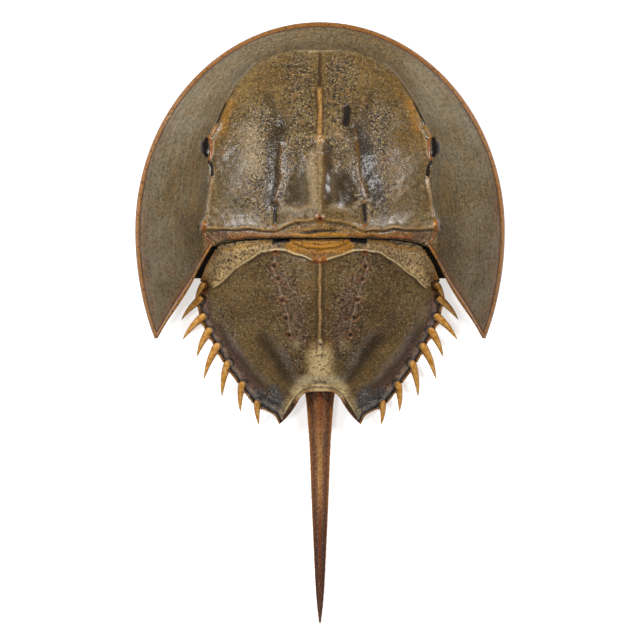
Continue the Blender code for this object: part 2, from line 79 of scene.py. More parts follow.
@dataclass(frozen=True)
class Mark:
    """A line or a spot on a shield, in millimetres, with its relief and its colour.

    A path of one point is a spot. The mark is full at its path and fades out at `width`.
    """

    path: tuple[Point, ...]
    width: float
    rise: float = 0.0
    tint: Tint | None = None
    strength: float = 1.0
    edge: float = 1.0
    side: Side = Side.BOTH

    def mask(self, x: Array, y: Array) -> Array:
        """How strongly the mark shows at each place.

        Args:
            x: X in millimetres.
            y: Y in millimetres.

        Returns:
            Values from 0 to 1.
        """
        gap = distance_to_path(np.abs(x), y, self.path) / self.width
        shown = np.clip((1 - gap) * self.edge, 0, 1)
        shown = shown * shown * (3 - 2 * shown)
        if self.side is not Side.BOTH:
            shown = shown * np.clip(0.5 + x * self.side.value, 0, 1)
        return shown


def smooth_through(stations: Any, at: Any) -> Array:
    """Values on a cubic through stations.

    Args:
        stations: Rows of a key and its values, with rising keys.
        at: Keys at which the values are wanted.

    Returns:
        One row of values for each key in `at`.
    """
    table = np.asarray(stations, float)
    keys, values = table[:, 0], table[:, 1:]
    slopes = np.gradient(values, keys, axis=0)
    at = np.clip(np.asarray(at, float), keys[0], keys[-1])
    left = np.clip(np.searchsorted(keys, at, side="right") - 1, 0, len(keys) - 2)
    width = (keys[left + 1] - keys[left])[..., None]
    share = (at - keys[left])[..., None] / width
    near = (1 + 2 * share) * (1 - share) ** 2 * values[left]
    far = share**2 * (3 - 2 * share) * values[left + 1]
    turn = share * (1 - share) ** 2 * slopes[left] - share**2 * (1 - share) * slopes[left + 1]
    return near + far + turn * width


def mirrored(stations: Sequence[Sequence[float]]) -> list[Sequence[float]]:
    """Stations (key, X, Y, ...) of the right half with those of the left half before them."""
    other = [(-row[0], -row[1], *row[2:]) for row in reversed(stations) if row[0] > 0]
    return other + list(stations)


def hump(distance: Array, width: float) -> Array:
    """A smooth rise that is 1 at no distance and 0 from `width` on."""
    return np.clip(1 - (distance / width) ** 2, 0, 1) ** 2


def step(value: Array, start: float, end: float) -> Array:
    """A smooth step from 0 at `start` to 1 at `end`."""
    share = np.clip((value - start) / (end - start), 0, 1)
    return share * share * (3 - 2 * share)


def distance_to_path(x: Array, y: Array, path: Sequence[Point]) -> Array:
    """Shortest distance in plan from places to a path of straight runs, or to one point."""
    runs = list(zip(path, path[1:])) or [(path[0], path[0])]
    best = np.full(np.shape(x), np.inf)
    for (ax, ay), (bx, by) in runs:
        square = max((bx - ax) ** 2 + (by - ay) ** 2, 1e-9)
        share = np.clip(((x - ax) * (bx - ax) + (y - ay) * (by - ay)) / square, 0, 1)
        best = np.minimum(best, np.hypot(x - ax - share * (bx - ax), y - ay - share * (by - ay)))
    return best


def unevenness(x: Array, y: Array, size: float, seed: int) -> Array:
    """Smooth random swells.

    Args:
        x: X in millimetres.
        y: Y in millimetres.
        size: Length of a swell in millimetres.
        seed: Picks the swells.

    Returns:
        Values around 0, mostly between -1 and 1.
    """
    waves = 14
    draw = np.random.default_rng(seed)
    total = np.zeros(np.shape(x))
    for _ in range(waves):
        turn, phase = draw.uniform(0, 2 * math.pi, 2)
        pitch = 2 * math.pi / (size * draw.uniform(0.7, 1.6))
        total += np.sin((x * math.cos(turn) + y * math.sin(turn)) * pitch + phase)
    return total / math.sqrt(waves)


def wandered(x: Array, y: Array, off: float, size: float, seed: int) -> tuple[Array, Array]:
    """Places moved by about `off` millimetres, so that drawn lines don't run straight."""
    moved_x = x + off * unevenness(x, y, size, seed)
    return moved_x, y + off * unevenness(x, y, size, seed + 1)


def strongest(
    marks: Sequence[Mark], tint: Tint, x: Array, y: Array, more: Sequence[Array]
) -> Array:
    """How strongly one tint shows at each place.

    Args:
        marks: Marks of all tints.
        tint: The tint that is wanted.
        x: X in millimetres.
        y: Y in millimetres.
        more: Masks of the same tint that aren't marks.

    Returns:
        The strongest of them at each place.
    """
    shown = [mark.strength * mark.mask(x, y) for mark in marks if mark.tint is tint]
    return np.max([np.zeros(len(x)), *shown, *more], axis=0)


def grid_mesh(points: Array, wrap: bool) -> bmesh.types.BMesh:
    """A grid whose vertices take given places, and that remembers its rows.

    Args:
        points: Places in millimetres, as rows of columns of X, Y, Z.
        wrap: Whether the last row meets the first, which makes a tube with closed ends.

    Returns:
        The mesh in metres, with each vertex's row and column in float layers.
    """
    rows, columns = points.shape[:2]
    bm = bmesh.new()
    row_of = bm.verts.layers.float.new("row")
    column_of = bm.verts.layers.float.new("column")
    bmesh.ops.create_grid(bm, x_segments=columns - 1, y_segments=rows - 1, size=0.5)
    places = points * MM
    for vert in bm.verts:
        column = round((vert.co.x + 0.5) * (columns - 1))
        row = round((vert.co.y + 0.5) * (rows - 1))
        vert.co = places[row][column]
        vert[row_of] = row
        vert[column_of] = column
    if wrap:
        bmesh.ops.remove_doubles(bm, verts=bm.verts, dist=1e-7)
        open_edges = [edge for edge in bm.edges if edge.is_boundary]
        bmesh.ops.holes_fill(bm, edges=open_edges, sides=0)
    return bm


def make_piece(bm: bmesh.types.BMesh, name: str) -> bpy.types.Object:
    """Turns a closed mesh into a smooth object with its faces outward.

    Args:
        bm: The mesh, which is used up.
        name: The piece's name.

    Returns:
        The new object, at the origin.
    """
    bmesh.ops.recalc_face_normals(bm, faces=bm.faces)
    if bm.calc_volume(signed=True) < 0:
        bmesh.ops.reverse_faces(bm, faces=bm.faces)
    mesh = bpy.data.meshes.new(name)
    bm.to_mesh(mesh)
    bm.free()
    mesh.shade_smooth()
    piece = bpy.data.objects.new(name, mesh)
    bpy.context.scene.collection.objects.link(piece)
    return piece


def places_of(mesh: bpy.types.Mesh) -> tuple[Array, Array, Array]:
    """X, Y and Z of a mesh's vertices in millimetres."""
    flat = np.empty(len(mesh.vertices) * 3, np.float32)
    mesh.vertices.foreach_get("co", flat)
    return tuple(flat.reshape(-1, 3).T.astype(float) / MM)


def layer_of(mesh: bpy.types.Mesh, name: str) -> Array:
    """The values of a mesh's float layer."""
    values = np.empty(len(mesh.vertices), np.float32)
    mesh.attributes[name].data.foreach_get("value", values)
    return values.astype(float)


def paint(mesh: bpy.types.Mesh, name: str, values: Array) -> None:
    """Stores one value for each vertex, for the finish to read."""
    layer = mesh.attributes.get(name) or mesh.attributes.new(name, "FLOAT", "POINT")
    layer.data.foreach_set("value", np.clip(values, 0, 1).astype(np.float32))


class Value:
    """A shader socket that sums can be written with."""

    def __init__(self, sheet: "Sheet", socket: bpy.types.NodeSocket) -> None:
        """Wraps a socket of a sheet."""
        self.sheet = sheet
        self.socket = socket

    def math(self, operation: str, first: Any, second: Any, clamp: bool = False) -> "Value":
        """Adds a Math node of two values."""
        settings = {"operation": operation, "use_clamp": clamp}
        return self.sheet.node("ShaderNodeMath", settings, {0: first, 1: second})

    def __add__(self, other: Any) -> "Value":
        """This plus the other."""
        return self.math("ADD", self, other)

    def __radd__(self, other: Any) -> "Value":
        """The other plus this."""
        return self.math("ADD", other, self)

    def __sub__(self, other: Any) -> "Value":
        """This minus the other."""
        return self.math("SUBTRACT", self, other)

    def __rsub__(self, other: Any) -> "Value":
        """The other minus this."""
        return self.math("SUBTRACT", other, self)

    def __mul__(self, other: Any) -> "Value":
        """This times the other."""
        return self.math("MULTIPLY", self, other)

    def __rmul__(self, other: Any) -> "Value":
        """The other times this."""
        return self.math("MULTIPLY", other, self)

    def clamped(self) -> "Value":
        """This, kept between 0 and 1."""
        return self.math("ADD", self, 0.0, clamp=True)

    def between(self, low: float, high: float) -> "Value":
        """This as a share of the way from low to high, kept between 0 and 1."""
        return self.sheet.node(
            "ShaderNodeMapRange", {"interpolation_type": "SMOOTHSTEP"},
            {"Value": self, "From Min": low, "From Max": high},
        )


class Sheet:
    """A material's node tree, written as expressions."""

    def __init__(self, name: str) -> None:
        """Starts a material of this name with an empty Principled shader."""
        self.material = bpy.data.materials.new(name)
        self.material.use_nodes = True
        self.tree = self.material.node_tree
        self.shader = self.tree.nodes["Principled BSDF"]

    def node(
        self, kind: str, settings: dict[str, Any], inputs: dict[Any, Any], output: Any = 0
    ) -> Value:
        """Adds a node.

        Args:
            kind: Its type.
            settings: What is set on the node itself, before its sockets.
            inputs: A number, a colour or a Value for each socket, by name or place.
            output: The socket that is wanted, by name or place.

        Returns:
            That socket.
        """
        made = self.tree.nodes.new(kind)
        for key, value in settings.items():
            setattr(made, key, value)
        for key, value in inputs.items():
            if isinstance(value, Value):
                self.tree.links.new(value.socket, made.inputs[key])
            else:
                made.inputs[key].default_value = value
        return Value(self, made.outputs[output])

    def mask(self, name: str) -> Value:
        """A value that was painted on the mesh."""
        return self.node("ShaderNodeAttribute", {"attribute_name": name}, {}, "Fac")

    def place(self) -> Value:
        """The place on the object."""
        return self.node("ShaderNodeTexCoord", {}, {}, "Object")

    def noise(self, place: Value, size: float, detail: float = 3.0, rough: float = 0.55) -> Value:
        """Soft noise between about 0.3 and 0.7, its lumps `size` millimetres long."""
        inputs = {"Vector": place, "Scale": 1 / (size * MM), "Detail": detail, "Roughness": rough}
        return self.node("ShaderNodeTexNoise", {}, inputs)

    def cells(self, place: Value, size: float) -> Value:
        """Distance from the middles of cells about `size` millimetres across."""
        inputs = {"Vector": place, "Scale": 1 / (size * MM)}
        return self.node("ShaderNodeTexVoronoi", {}, inputs, "Distance")

    def blend(self, factor: Any, first: Any, second: Any) -> Value:
        """A colour between two, by a factor."""
        first, second = ((*c, 1.0) if isinstance(c, tuple) else c for c in (first, second))
        settings = {"data_type": "RGBA", "clamp_factor": True}
        return self.node("ShaderNodeMix", settings, {0: factor, 6: first, 7: second}, 2)

    def scaled(self, place: Value, x: float, y: float, z: float) -> Value:
        """A place stretched along its axes."""
        return self.node("ShaderNodeMapping", {}, {"Vector": place, "Scale": (x, y, z)})

    def bump(self, height: Value, depth: float) -> Value:
        """A bump `depth` millimetres deep."""
        inputs = {"Height": height, "Distance": depth * MM, "Strength": 1.0}
        return self.node("ShaderNodeBump", {}, inputs)

    def set(self, **sockets: Any) -> None:
        """Sets or links the shader's sockets, with underscores for spaces in their names."""
        for name, value in sockets.items():
            socket = self.shader.inputs[name.replace("_", " ")]
            if isinstance(value, Value):
                self.tree.links.new(value.socket, socket)
            elif isinstance(value, tuple):
                socket.default_value = (*value, 1.0)
            else:
                socket.default_value = value


@dataclass(frozen=True)
class CuticleFinish:
    """The dried, half-glossy cuticle of a shield or the tail."""

    name: str
    light: Colour
    deep: Colour
    warm: Colour
    ash: Colour = (0.14, 0.12, 0.082)
    fleck: Colour = (0.42, 0.3, 0.16)
    roughness: float = 0.23
    gold: Colour = (0.38, 0.16, 0.01)
    amber: Colour = (0.27, 0.07, 0.008)
    pale: Colour = (0.45, 0.33, 0.18)
    dark: Colour = (0.012, 0.008, 0.006)
    blush: Colour = (0.1, 0.044, 0.028)
    slate: Colour = (0.06, 0.062, 0.07)
    eye: Colour = (0.006, 0.004, 0.003)
    mottle: float = 1.0
    grain: float = 0.3
    shine: float = 0.28
    # How free the flange is of dark and light grain, and how strong its streaks are
    calm: float = 0.3
    streaks: float = 0.5

    def build(self) -> bpy.types.Material:
        """Makes the material.

        Returns:
            A material that reads the masks painted on a shield.
        """
        sheet = Sheet(self.name)
        place = sheet.place()
        broad = sheet.noise(place, 30.0, 4.0)
        cloud = sheet.noise(place, 7.0, 4.0, 0.6)
        fine = sheet.noise(place, 2.2, 4.0, 0.75)
        speck = sheet.noise(place, 1.3, 2.0, 0.8)
        rings = sheet.node("ShaderNodeCombineXYZ", {}, {
            0: sheet.mask("around") * 0.05, 1: sheet.mask("outward") * 0.09,
        })
        streak = sheet.noise(rings, 3.0, 4.0, 0.65)
        pitted = sheet.mask(Tint.PITTED.value)
        pits = (1 - sheet.cells(place, 2.1).between(0.12, 0.42)) * pitted
        flange = sheet.mask(Tint.ASH.value)
        ash = flange * (broad.between(0.35, 0.65) * 0.6 + 0.4)
        streaks = flange * self.streaks
        veil = fine.between(0.3, 0.7) * 0.5 + 0.6
        calm = 1 - flange * self.calm
        coarse = (pitted * 0.55 + 0.55) * calm * self.mottle
        broken = (fine * 1.5 + speck * 1.5 - 0.75).clamped()
        amber = sheet.mask(Tint.AMBER.value) * broken
        gold = sheet.mask(Tint.GOLD.value) * broken
        pale = sheet.mask(Tint.PALE.value) * broken
        beads = 1 - sheet.cells(place, 2.6).between(0.16, 0.36)
        shade = (sheet.mask(Tint.DARK.value) * (veil + 0.2)).clamped()
        gloss = sheet.mask(Tint.GLOSS.value)
        layers = (
            (ash, self.ash),
            (cloud.between(0.46, 0.68) * (1 - ash * 0.8) * (0.55 * self.mottle), self.warm),
            ((1 - streak.between(0.4, 0.6)) * streaks * 0.5, self.dark),
            (streak.between(0.5, 0.7) * streaks * 0.4, self.fleck),
            (sheet.mask(Tint.BLUSH.value) * veil, self.blush),
            (sheet.mask(Tint.SLATE.value) * veil, self.slate),
            ((1 - fine.between(0.41, 0.54)) * coarse, self.dark),
            (speck.between(0.55, 0.69) * (coarse * calm), self.fleck),
            (pits * 0.8, self.dark),
            (amber, self.amber),
            (gold, self.gold),
            (pale, self.pale),
            (beads * (amber + gold + pale).clamped() * 0.8, self.dark),
            (shade, self.dark),
            (gloss, self.eye),
        )
        colour = sheet.blend(broad.between(0.38, 0.62), self.deep, self.light)
        for factor, tone in layers:
            colour = sheet.blend(factor, colour, tone)
        rough = cloud.between(0.3, 0.7) * 0.1 + (self.roughness - 0.05)
        rough = rough - pitted * 0.04 - shade * 0.04 - gloss * 0.1
        relief = (fine * 0.8 + speck * 0.6) * (pitted * 1.5 + 0.5) + streak * streaks * 0.6
        normal = sheet.bump((relief - pits * 0.8) * (1 - shade * 0.7), self.grain)
        sheet.set(
            Base_Color=colour, Roughness=rough.clamped(), Normal=normal,
            Specular_IOR_Level=self.shine, IOR=1.5,
        )
        return sheet.material


@dataclass(frozen=True)
class SpineFinish:
    """Amber horn of a movable side spine, browner at its root and its point."""

    name: str = "spine_horn"
    body: Colour = (0.4, 0.16, 0.014)
    light: Colour = (0.64, 0.35, 0.1)
    root: Colour = (0.22, 0.065, 0.006)
    roughness: float = 0.22
    shine: float = 0.26
    grain: float = 0.08

    def build(self) -> bpy.types.Material:
        """Makes the material, which reads the painted share along the spine."""
        sheet = Sheet(self.name)
        place = sheet.place()
        along = sheet.mask("along")
        streak = sheet.noise(place, 2.2, 4.0, 0.6)
        colour = sheet.blend(streak.between(0.35, 0.65), self.body, self.light)
        colour = sheet.blend((1 - along.between(0.0, 0.08)) * 0.7, colour, self.root)
        colour = sheet.blend(sheet.mask("flank") * 0.85, colour, self.root)
        normal = sheet.bump(sheet.noise(place, 0.7), self.grain)
        sheet.set(
            Base_Color=colour, Roughness=self.roughness, Normal=normal,
            Specular_IOR_Level=self.shine,
        )
        return sheet.material


@dataclass(frozen=True)
class SkinFinish:
    """The dried skin of the joint, coloured nearly black both for the skin and for the painted
    shade inside the hinge slit.
    """

    name: str = "joint_skin_and_slit_shade"
    colour: Colour = (0.002, 0.0015, 0.0015)
    fold: Colour = (0.006, 0.004, 0.003)
    roughness: float = 0.5
    shine: float = 0.08
    grain: float = 0.3

    def build(self) -> bpy.types.Material:
        """Makes the material."""
        sheet = Sheet(self.name)
        place = sheet.place()
        folds = sheet.noise(sheet.scaled(place, 0.4, 1.6, 1.0), 1.8, 4.0, 0.6)
        colour = sheet.blend(folds.between(0.45, 0.75), self.colour, self.fold)
        sheet.set(
            Base_Color=colour, Roughness=self.roughness,
            Normal=sheet.bump(folds, self.grain), Specular_IOR_Level=self.shine,
        )
        return sheet.material


@dataclass(frozen=True)
class ShieldForm:
    """The vault of the head shield, in millimetres."""

    half_width: float = 123.32
    front: float = 139.0
    rear: float = 161.33
    centre_y: float = 61.33
    tip_angle: float = 116.6
    height: float = 66.5
    rim_height: float = 2.8
    arch: float = 2.6
    arch_angle: float = 38.0
    dome_power: float = 1.9
    flange_power: float = 1.12
    ridge_end: float = 91.0
    hinge_end: float = 82.0
    wall: float = 2.2
    brim: float = 8.0
    brim_more_in_front: float = 5.0
    # Angle in degrees, X, Y
    eye_ridge: tuple[Triple, ...] = (
        (0, 0.0, 180.3), (14, 25.9, 178.5), (24, 43.7, 170.5), (34, 55.3, 158.0),
        (43, 62.5, 145.5), (52, 68.7, 132.1), (59, 71.4, 122.8), (64, 72.6, 116.0),
        (68, 72.8, 110.0), (72, 72.3, 104.7), (77, 71.9, 96.0), (86, 74.6, 74.0),
        (91, 77.1, 64.0), (95, 81.5, 49.5), (99, 87.5, 36.0), (104, 95.0, 20.5),
        (109, 101.5, 7.2), (113, 106.2, -2.4), (116.6, 109.2, -10.6),
    )
    rear_edge: tuple[Triple, ...] = (
        (0, 0.0, 55.5), (14, 14.0, 55.9), (24, 27.0, 55.6), (34, 38.7, 55.4),
        (43, 46.7, 55.1), (52, 53.5, 54.3), (59, 58.7, 53.4), (64, 62.0, 52.8),
        (68, 64.7, 52.4), (72, 66.9, 51.6), (77, 69.4, 50.6), (82, 71.5, 50.0),
        (86, 73.3, 47.2), (91, 76.1, 42.8), (95, 79.7, 36.1), (99, 84.3, 26.9),
        (104, 90.6, 16.5), (109, 97.2, 7.0), (113, 103.0, -1.4), (116.6, 108.2, -10.4),
    )
    # Angle seen from the middle of the dome, Z
    ridge_heights: tuple[Pair, ...] = (
        (0, 17.0), (14, 17.5), (24, 19.0), (33, 22.0), (40, 25.6), (48, 30.2), (54, 33.4),
        (58, 35.4), (67, 39.0), (81, 42.3), (90, 43.3), (180, 44.0),
    )

    def outline(self, angle: Array) -> tuple[Array, Array]:
        """X and Y of the outline at angles in degrees from the front."""
        turn = np.radians(angle)
        depth = np.where(np.abs(angle) > 90, self.rear, self.front)
        return self.half_width * np.sin(turn), self.centre_y + depth * np.cos(turn)

    def inside(self, x: Array, y: Array) -> tuple[Array, Array]:
        """Share of the way from the middle to the outline, and the angle in degrees."""
        up = y - self.centre_y
        along = up / np.where(up < 0, self.rear, self.front)
        across = np.abs(x) / self.half_width
        return np.hypot(across, along), np.degrees(np.arctan2(across, along))

    def rim_lift(self, angle: Array) -> Array:
        """How far the rim lifts off the ground in front."""
        return self.arch * hump(np.abs(angle), self.arch_angle)

    def ridge_share(self, angle: Array) -> Array:
        """Share of the way to the outline at which the eye ridge stands.

        Args:
            angle: Angles in degrees, seen from the middle of the dome.

        Returns:
            One share for each angle.
        """
        points = np.array([row[1:] for row in self.eye_ridge if row[0] <= self.ridge_end])
        share, at = self.inside(points[:, 0], points[:, 1])
        even = np.polynomial.Polynomial.fit(at, share, 5)
        return even(np.minimum(angle, at.max()))

    def height_at(self, x: Array, y: Array) -> Array:
        """Height of the vault without its relief."""
        share, angle = self.inside(x, y)
        at_ridge = self.ridge_share(angle)
        ridge_z = smooth_through(self.ridge_heights, angle)[..., 0]
        rim_z = self.rim_height + self.rim_lift(angle)
        dome = self.height - (self.height - ridge_z) * (share / at_ridge) ** self.dome_power
        out = np.clip((share - at_ridge) / (1 - at_ridge), 0, 1)
        flange = rim_z + (ridge_z - rim_z) * (1 - out**self.flange_power)
        return np.where(share < at_ridge, dome, flange)

    def hinge_y(self, x: Array) -> Array:
        """Y of the hinge edge."""
        edge = np.array([row[1:] for row in self.rear_edge if row[0] <= self.hinge_end])
        return np.interp(np.abs(x), edge[:, 0], edge[:, 1])


EYE_LINE = ((43.7, 170.5), (55.3, 158.0), (62.5, 145.5), (68.7, 132.1), (72.2, 124.4))
BORDER_LINE = (
    (75.0, 62.6), (60.0, 62.4), (46.3, 62.7), (36.0, 61.4), (29.7, 60.7), (24.0, 63.4),
    (19.7, 65.5), (11.3, 67.0), (4.6, 68.3),
)
CREST = (
    (5.4, 41.4), (12.2, 44.0), (22.4, 47.6), (29.5, 48.2), (39.4, 46.6), (48.1, 40.7),
    (54.5, 36.9), (60.8, 31.5), (70.3, 23.3),
)
MUSCLE_PITS = (
    (29.5, 46.5), (30.2, 37.1), (27.8, 28.3), (24.8, 14.3), (22.4, 2.4), (19.7, -8.5),
)

LEFT_FURROW = ((25.0, 116.0), (25.0, 98.0), (29.2, 79.5))
RIGHT_FURROW = ((22.7, 128.0), (24.5, 113.0), (24.5, 100.7), (30.3, 83.0))

